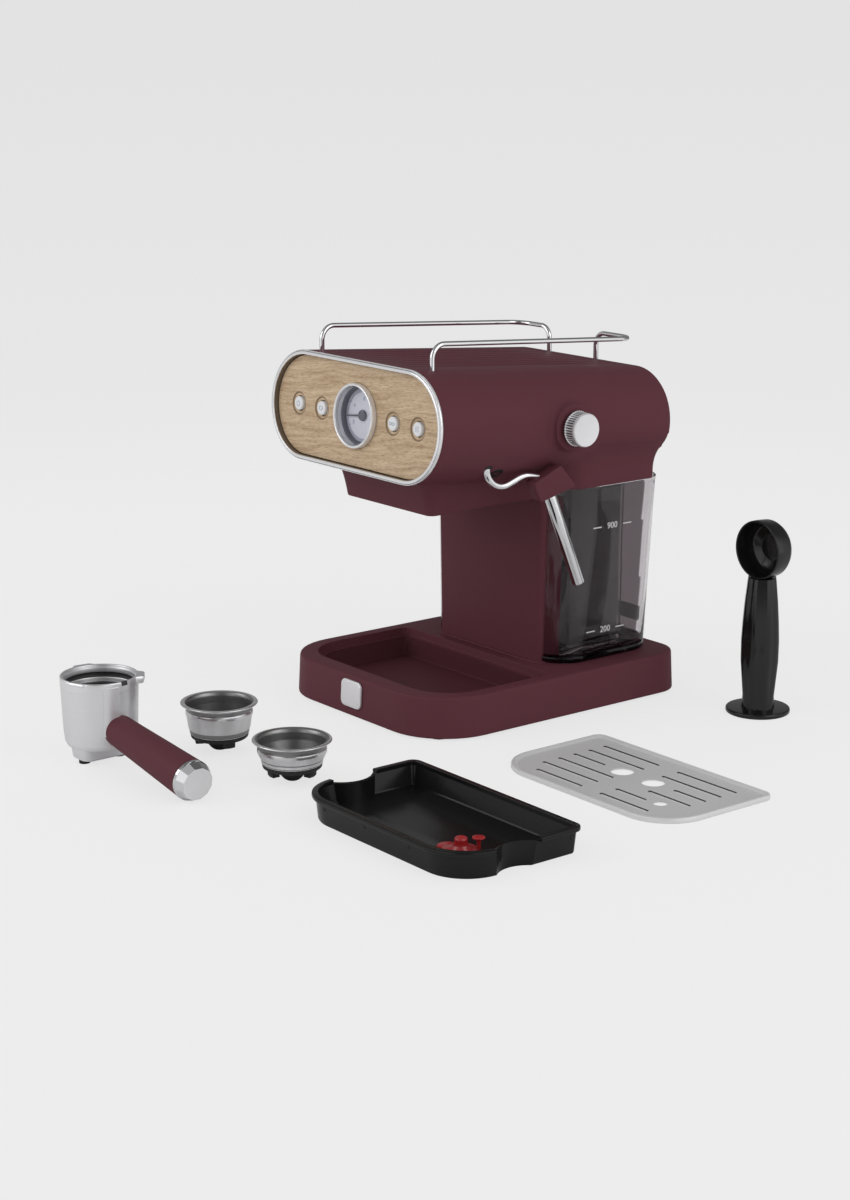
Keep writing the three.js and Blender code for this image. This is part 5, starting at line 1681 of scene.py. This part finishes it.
def make_scoop():
    """The measuring scoop, whose foot is the tamper."""
    bm = bmesh.new()
    disc = [(0, 0), (24.9, 0), (25.8, 0.8), (25.8, 3.2), (25.0, 4.0), (12, 4.4), (0, 4.4)]
    turned(bm, soften(disc, 0.5, 3), steps=96)
    loops = []
    stations = [(13.0, 4.0), (12.6, 7), (12.6, 14), (13.9, 28), (15.2, 43), (15.3, 60)]
    stations += [(14.5, 76), (13.3, 92), (12.0, 104), (11.5, 109), (11.2, 111.2)]
    for radius, z in stations:
        points = []
        for i in range(96):
            turn = 2 * math.pi * i / 96
            groove = 0.5 + 0.5 * math.cos(8 * turn)
            reach = radius + 0.5 - 0.9 * groove * min(1.0, max(0.0, (z - 6) / 10))
            points.append((reach * math.cos(turn), reach * math.sin(turn), z))
        loops.append(loop(bm, points))
    skin(bm, loops)
    at = Matrix.Translation((0, -7.6, 134.2)) @ Matrix.Rotation(-math.pi / 2, 4, "X")
    bowl = [(0, 20.0), (13.4, 20.0), (20.4, 18.6), (23.0, 14.6), (23.6, 6.0), (23.6, 0.7)]
    bowl += [(23.0, 0.0), (22.2, 0.0), (21.8, 0.8), (21.5, 11.0), (18.6, 16.2), (11.4, 17.9)]
    bowl += [(0, 17.9)]
    turned(bm, soften(bowl, 0.9, 4), at, 96)
    piece(
        "scoop", bm, machine_frame(SCOOP_AT), ["scoop_gloss"], "scoop",
        ["coffee_scoop"], 40,
    )


def dress_kept_nodes():
    """Materials for the CAD nodes that stay in view."""
    dress("black_plastic", "bottom_plate", "pump")
    dress("tower_plastic", "tower_core")
    dress("rubber", "foot_front_left", "foot_front_right", "foot_rear_left")
    dress("rubber", "foot_rear_right", "cord_gland", "tank_socket", "wand_socket")
    dress("rubber", "group_gasket", "spout_tip_front", "spout_tip_rear")
    dress("aluminium", "group_head", "boiler")
    dress("steel", "shower_screen", "screen_screw", "steam_spindle")
    dress("brass", "steam_valve")
    dress("white_plastic", "tank_valve")
    dress("silicone", "suction_hose", "pressure_hose")
    dress("circuit_board", "control_board")


# ------------------------------------------------------------------------------ stage


# Brightness of the studio's banks round the compass, and how it falls off with height
BANKS = (
    (0.0, 0.2), (0.12, 0.45), (0.18, 0.95), (0.3, 0.95), (0.34, 0.08), (0.42, 0.08),
    (0.46, 0.95), (0.62, 0.95), (0.68, 0.2), (0.8, 0.05), (0.88, 0.16), (1.0, 0.12),
)
BANK_HEIGHT = ((0.0, 1.0), (0.35, 1.0), (0.62, 0.5), (1.0, 0.35))

# The camera's place from the centre of the base in metres, its turn in degrees and its lens
CAMERA_AT = (1.4453, -1.1937, 0.5497)
CAMERA_TURN = (75.816, 0.0, 51.842)
CAMERA_LENS = 70.18


def ramp(tree, place, value, stops):
    """A grey ramp with stops at their positions, driven by a value."""
    made = add(tree, "ShaderNodeValToRGB", place, {"Fac": value})
    elements = made.color_ramp.elements
    while len(elements) < len(stops):
        elements.new(0.5)
    for element, (position, grey) in zip(elements, stops):
        element.position = position
        element.color = (grey, grey, grey, 1)
    return made.outputs[0]


def make_world():
    """A pale studio: bright banks at the sides with dark gaps, and a softer top."""
    world = bpy.data.worlds.new("studio")
    bpy.context.scene.world = world
    world.use_nodes = True
    tree = world.node_tree
    tree.nodes.clear()
    place = add(tree, "ShaderNodeTexCoord", (0, 0)).outputs["Generated"]
    split = add(tree, "ShaderNodeSeparateXYZ", (1, 0), {0: place}).outputs
    around = add(
        tree, "ShaderNodeMath", (2, 0), {0: split["Y"], 1: split["X"]},
        operation="ARCTAN2",
    )
    share = add(
        tree, "ShaderNodeMapRange", (3, 0),
        {"Value": around.outputs[0], "From Min": -math.pi, "From Max": math.pi},
    )
    banks = ramp(tree, (4, 0), share.outputs[0], BANKS)
    height = ramp(tree, (4, 1), split["Z"], BANK_HEIGHT)
    glossy = add(
        tree, "ShaderNodeMath", (5, 0), {0: banks, 1: height, 2: 0.1},
        operation="MULTIPLY_ADD",
    )
    even = ramp(tree, (4, 2), split["Z"], ((0.0, 0.72), (0.4, 0.62), (1.0, 0.5)))
    drop = add(
        tree, "ShaderNodeMapRange", (3, 3),
        {"Value": split["Z"], "From Min": -0.3, "From Max": 0.0},
    )
    back = ramp(tree, (4, 3), drop.outputs[0], ((0.0, 0.83), (0.5, 0.8), (1.0, 0.765)))
    ray = add(tree, "ShaderNodeLightPath", (5, 3)).outputs
    seen = add(
        tree, "ShaderNodeMath", (6, 3),
        {0: ray["Is Camera Ray"], 1: ray["Is Transmission Ray"]}, operation="MAXIMUM",
    )
    lit = add(
        tree, "ShaderNodeMix", (6, 1),
        {"Factor": ray["Is Glossy Ray"], 2: even, 3: glossy.outputs[0]},
    )
    final = add(
        tree, "ShaderNodeMix", (7, 1),
        {"Factor": seen.outputs[0], 2: lit.outputs[0], 3: back},
    )
    light = add(
        tree, "ShaderNodeBackground", (8, 1), {"Color": final.outputs[0], "Strength": 1.0}
    )
    add(tree, "ShaderNodeOutputWorld", (9, 1), {0: light.outputs[0]})


def floor_material():
    """A pale floor that takes soft shadows and fades out into the background."""
    made = moulded("floor", linear("f2f2f2"), 0.9, {"Mottle": 0.004})
    tree = made.node_tree
    place = add(tree, "ShaderNodeTexCoord", (-3, 3)).outputs["Object"]
    spread = add(tree, "ShaderNodeVectorMath", (-2, 3), {0: place}, operation="LENGTH")
    fade = add(
        tree, "ShaderNodeMapRange", (-1, 3),
        {"Value": spread.outputs["Value"], "From Min": 0.7, "From Max": 1.9},
        interpolation_type="SMOOTHSTEP",
    )
    nothing = add(tree, "ShaderNodeBsdfTransparent", (0, 3))
    pale = {"Color": (*linear("f3f3f3"), 1), "Strength": 1.0}
    glow = add(tree, "ShaderNodeEmission", (0, 4), pale)
    ray = add(tree, "ShaderNodeLightPath", (-1, 5)).outputs
    seen = add(
        tree, "ShaderNodeMath", (0, 5),
        {0: ray["Is Camera Ray"], 1: ray["Is Transmission Ray"]}, operation="MAXIMUM",
    )
    kept = add(
        tree, "ShaderNodeMath", (1, 5), {0: seen.outputs[0], 1: 0.8}, operation="MULTIPLY"
    )
    surface = tree.nodes["Principled BSDF"].outputs[0]
    floor_look = add(
        tree, "ShaderNodeMixShader", (1, 4),
        {"Fac": kept.outputs[0], 1: surface, 2: glow.outputs[0]},
    )
    mixed = add(
        tree, "ShaderNodeMixShader", (2, 2),
        {"Fac": fade.outputs[0], 1: floor_look.outputs[0], 2: nothing.outputs[0]},
    )
    tree.links.new(mixed.outputs[0], tree.nodes["Material Output"].inputs["Surface"])
    return made


def make_stage(sizes):
    """The floor, the lights and the camera."""
    scene = bpy.context.scene
    bm = bmesh.new()
    bmesh.ops.create_circle(bm, cap_ends=True, radius=2.4, segments=64)
    mesh = bpy.data.meshes.new("floor")
    bm.to_mesh(mesh)
    bm.free()
    mesh.materials.append(floor_material())
    floor = bpy.data.objects.new("floor", mesh)
    scene.collection.objects.link(floor)
    make_world()

    centre = base_centre()
    for name, at, power in (
        ("key", Vector((-1.0, -1.9, 1.2)), sizes.key_power),
        ("fill", Vector((2.0, 0.4, 1.3)), sizes.fill_power),
    ):
        data = bpy.data.lights.new(name, "AREA")
        data.shape = "DISK"
        data.size = 1.6
        data.energy = power
        light = bpy.data.objects.new(name, data)
        scene.collection.objects.link(light)
        light.location = centre + at
        aim = Vector((0, 0, 0.12)) - at
        light.rotation_euler = aim.to_track_quat("-Z", "Y").to_euler()

    data = bpy.data.cameras.new("camera")
    data.sensor_fit = "VERTICAL"
    data.sensor_height = 36
    data.lens = CAMERA_LENS
    camera = bpy.data.objects.new("camera", data)
    scene.collection.objects.link(camera)
    camera.location = centre + Vector(CAMERA_AT)
    camera.rotation_euler = [math.radians(angle) for angle in CAMERA_TURN]
    scene.camera = camera
    scene.view_settings.view_transform = "Standard"


# ------------------------------------------------------------------------------ settings


def length_setting(name, about, value, low, high):
    """A size in metres, shown in the scene's own units."""
    return bpy.props.FloatProperty(
        name=name, description=about, default=value, min=low, max=high,
        unit="LENGTH", subtype="DISTANCE", precision=5,
    )


def colour_setting(name, about, code):
    """A colour, given by its screen value."""
    return bpy.props.FloatVectorProperty(
        name=name, description=about, default=linear(code), min=0.0, max=1.0,
        size=3, subtype="COLOR",
    )


class EspressoSizes(bpy.types.PropertyGroup):
    """The sizes and light powers that a user may change"""

    base_edge: length_setting(
        "Base Edge", "Rounding of the base's top edge", 0.0026, 0.0005, 0.006
    )
    chin_flare: length_setting(
        "Chin Flare", "Reach of the hollow between the chin and the nose", 0.011, 0.004, 0.02
    )
    rib_height: length_setting(
        "Rib Height", "Height of the warming plate's ribs", 0.0008, 0.0002, 0.002
    )
    wand_tube: length_setting(
        "Wand Tube", "Diameter of the steam wand's tube", 0.0056, 0.003, 0.008
    )
    tank_wall: length_setting(
        "Tank Wall", "Thickness of the water tank's wall", 0.002, 0.001, 0.004
    )
    knob_grooves: bpy.props.IntProperty(
        name="Knob Grooves", description="Grooves round the steam knob", default=40,
        min=12, max=90,
    )
    key_power: bpy.props.FloatProperty(
        name="Key Light", description="Power of the front light", default=10.0, min=0.0,
        unit="POWER",
    )
    fill_power: bpy.props.FloatProperty(
        name="Fill Light", description="Power of the light on the right", default=8.0,
        min=0.0, unit="POWER",
    )


class EspressoColours(bpy.types.PropertyGroup):
    """The main colours, as scene-linear values"""

    burgundy: colour_setting("Burgundy", "The machine's shells and handle", "643941")
    black: colour_setting("Black", "The drip tray and the scoop", "1a1a1a")
    chrome: colour_setting("Chrome", "Rails, knob, steam wand and handle cap", "e6e6e8")
    steel: colour_setting("Steel", "Filter baskets", "e0e0e2")
    tank: colour_setting("Tank", "Tint of the clear water tank", "e2dfe1")
    wood_light: colour_setting("Light Grain", "The wood between its grain", "dfc6a5")
    wood_dark: colour_setting("Dark Grain", "The wood's grain and pores", "a2825f")
    dial: colour_setting("Dial", "The gauge's face", "dcdae4")


# ------------------------------------------------------------------------------ operators


class EspressoBase(bpy.types.Operator):
    """Add the base and its badge"""

    bl_idname = "espresso.base"
    bl_label = "Base"

    def execute(self, context):
        make_base(context.scene.espresso_sizes)
        return {"FINISHED"}


class EspressoColumn(bpy.types.Operator):
    """Add the column's front plate"""

    bl_idname = "espresso.column"
    bl_label = "Column"

    def execute(self, context):
        make_column()
        return {"FINISHED"}


class EspressoHead(bpy.types.Operator):
    """Add the head and its rear cover"""

    bl_idname = "espresso.head"
    bl_label = "Head"

    def execute(self, context):
        make_head(context.scene.espresso_sizes)
        return {"FINISHED"}


class EspressoWarmingPlate(bpy.types.Operator):
    """Add the ribbed warming plate"""

    bl_idname = "espresso.warming_plate"
    bl_label = "Warming Plate"

    def execute(self, context):
        make_warming_plate(context.scene.espresso_sizes)
        return {"FINISHED"}


class EspressoRails(bpy.types.Operator):
    """Add the two cup rails"""

    bl_idname = "espresso.rails"
    bl_label = "Cup Rails"

    def execute(self, context):
        make_rails()
        return {"FINISHED"}


class EspressoFront(bpy.types.Operator):
    """Add the bezel, the wood panel and the button carrier"""

    bl_idname = "espresso.front"
    bl_label = "Front Panel"

    def execute(self, context):
        make_front()
        return {"FINISHED"}


class EspressoGauge(bpy.types.Operator):
    """Add the gauge with its dial, needle and lens"""

    bl_idname = "espresso.gauge"
    bl_label = "Gauge"

    def execute(self, context):
        make_gauge()
        return {"FINISHED"}


class EspressoButtons(bpy.types.Operator):
    """Add the four push buttons"""

    bl_idname = "espresso.buttons"
    bl_label = "Buttons"

    def execute(self, context):
        make_buttons()
        return {"FINISHED"}


class EspressoKnob(bpy.types.Operator):
    """Add the steam knob"""

    bl_idname = "espresso.knob"
    bl_label = "Steam Knob"

    def execute(self, context):
        make_knob(context.scene.espresso_sizes)
        return {"FINISHED"}


class EspressoWand(bpy.types.Operator):
    """Add the steam wand"""

    bl_idname = "espresso.wand"
    bl_label = "Steam Wand"

    def execute(self, context):
        make_wand(context.scene.espresso_sizes)
        return {"FINISHED"}


class EspressoTank(bpy.types.Operator):
    """Add the water tank and its level marks"""

    bl_idname = "espresso.tank"
    bl_label = "Water Tank"

    def execute(self, context):
        make_tank(context.scene.espresso_sizes)
        return {"FINISHED"}


class EspressoTray(bpy.types.Operator):
    """Add the drip tray and its float"""

    bl_idname = "espresso.tray"
    bl_label = "Drip Tray"

    def execute(self, context):
        make_tray()
        return {"FINISHED"}


class EspressoGrille(bpy.types.Operator):
    """Add the drip grille"""

    bl_idname = "espresso.grille"
    bl_label = "Drip Grille"

    def execute(self, context):
        make_grille()
        return {"FINISHED"}


class EspressoPortafilter(bpy.types.Operator):
    """Add the portafilter with its handle"""

    bl_idname = "espresso.portafilter"
    bl_label = "Portafilter"

    def execute(self, context):
        make_portafilter()
        return {"FINISHED"}


class EspressoBaskets(bpy.types.Operator):
    """Add the two filter baskets"""

    bl_idname = "espresso.baskets"
    bl_label = "Filter Baskets"

    def execute(self, context):
        make_baskets()
        return {"FINISHED"}


class EspressoScoop(bpy.types.Operator):
    """Add the scoop with its tamper"""

    bl_idname = "espresso.scoop"
    bl_label = "Scoop"

    def execute(self, context):
        make_scoop()
        return {"FINISHED"}


class EspressoKeptNodes(bpy.types.Operator):
    """Give the CAD nodes that stay in view their materials"""

    bl_idname = "espresso.kept_nodes"
    bl_label = "Kept Nodes"

    def execute(self, context):
        dress_kept_nodes()
        return {"FINISHED"}


class EspressoStage(bpy.types.Operator):
    """Add the floor, the lights and the camera"""

    bl_idname = "espresso.stage"
    bl_label = "Stage"

    def execute(self, context):
        make_stage(context.scene.espresso_sizes)
        return {"FINISHED"}


OPERATORS = (
    EspressoBase,
    EspressoColumn,
    EspressoHead,
    EspressoWarmingPlate,
    EspressoRails,
    EspressoFront,
    EspressoGauge,
    EspressoButtons,
    EspressoKnob,
    EspressoWand,
    EspressoTank,
    EspressoTray,
    EspressoGrille,
    EspressoPortafilter,
    EspressoBaskets,
    EspressoScoop,
    EspressoKeptNodes,
    EspressoStage,
)


class EspressoPanel(bpy.types.Panel):
    """The pieces, sizes and colours of the espresso machine"""

    bl_idname = "VIEW3D_PT_espresso"
    bl_label = "Espresso Machine"
    bl_space_type = "VIEW_3D"
    bl_region_type = "UI"
    bl_category = "Espresso"

    def draw(self, context):
        for group in (context.scene.espresso_sizes, context.scene.espresso_colours):
            column = self.layout.column(align=True)
            for name in group.__annotations__:
                column.prop(group, name)
        column = self.layout.column(align=True)
        for operator in OPERATORS:
            column.operator(operator.bl_idname)


CLASSES = (EspressoSizes, EspressoColours, *OPERATORS, EspressoPanel)


def register():
    """Adds the classes and the two groups of settings."""
    for item in CLASSES:
        bpy.utils.register_class(item)
    bpy.types.Scene.espresso_sizes = bpy.props.PointerProperty(type=EspressoSizes)
    bpy.types.Scene.espresso_colours = bpy.props.PointerProperty(type=EspressoColours)


def unregister():
    """Takes the settings and the classes away again."""
    del bpy.types.Scene.espresso_colours
    del bpy.types.Scene.espresso_sizes
    for item in reversed(CLASSES):
        bpy.utils.unregister_class(item)


def main():
    """Builds every piece in turn."""
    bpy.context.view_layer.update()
    register()
    for operator in OPERATORS:
        name = operator.bl_idname.split(".")[1]
        getattr(bpy.ops.espresso, name)()


if __name__ == "__main__":
    main()
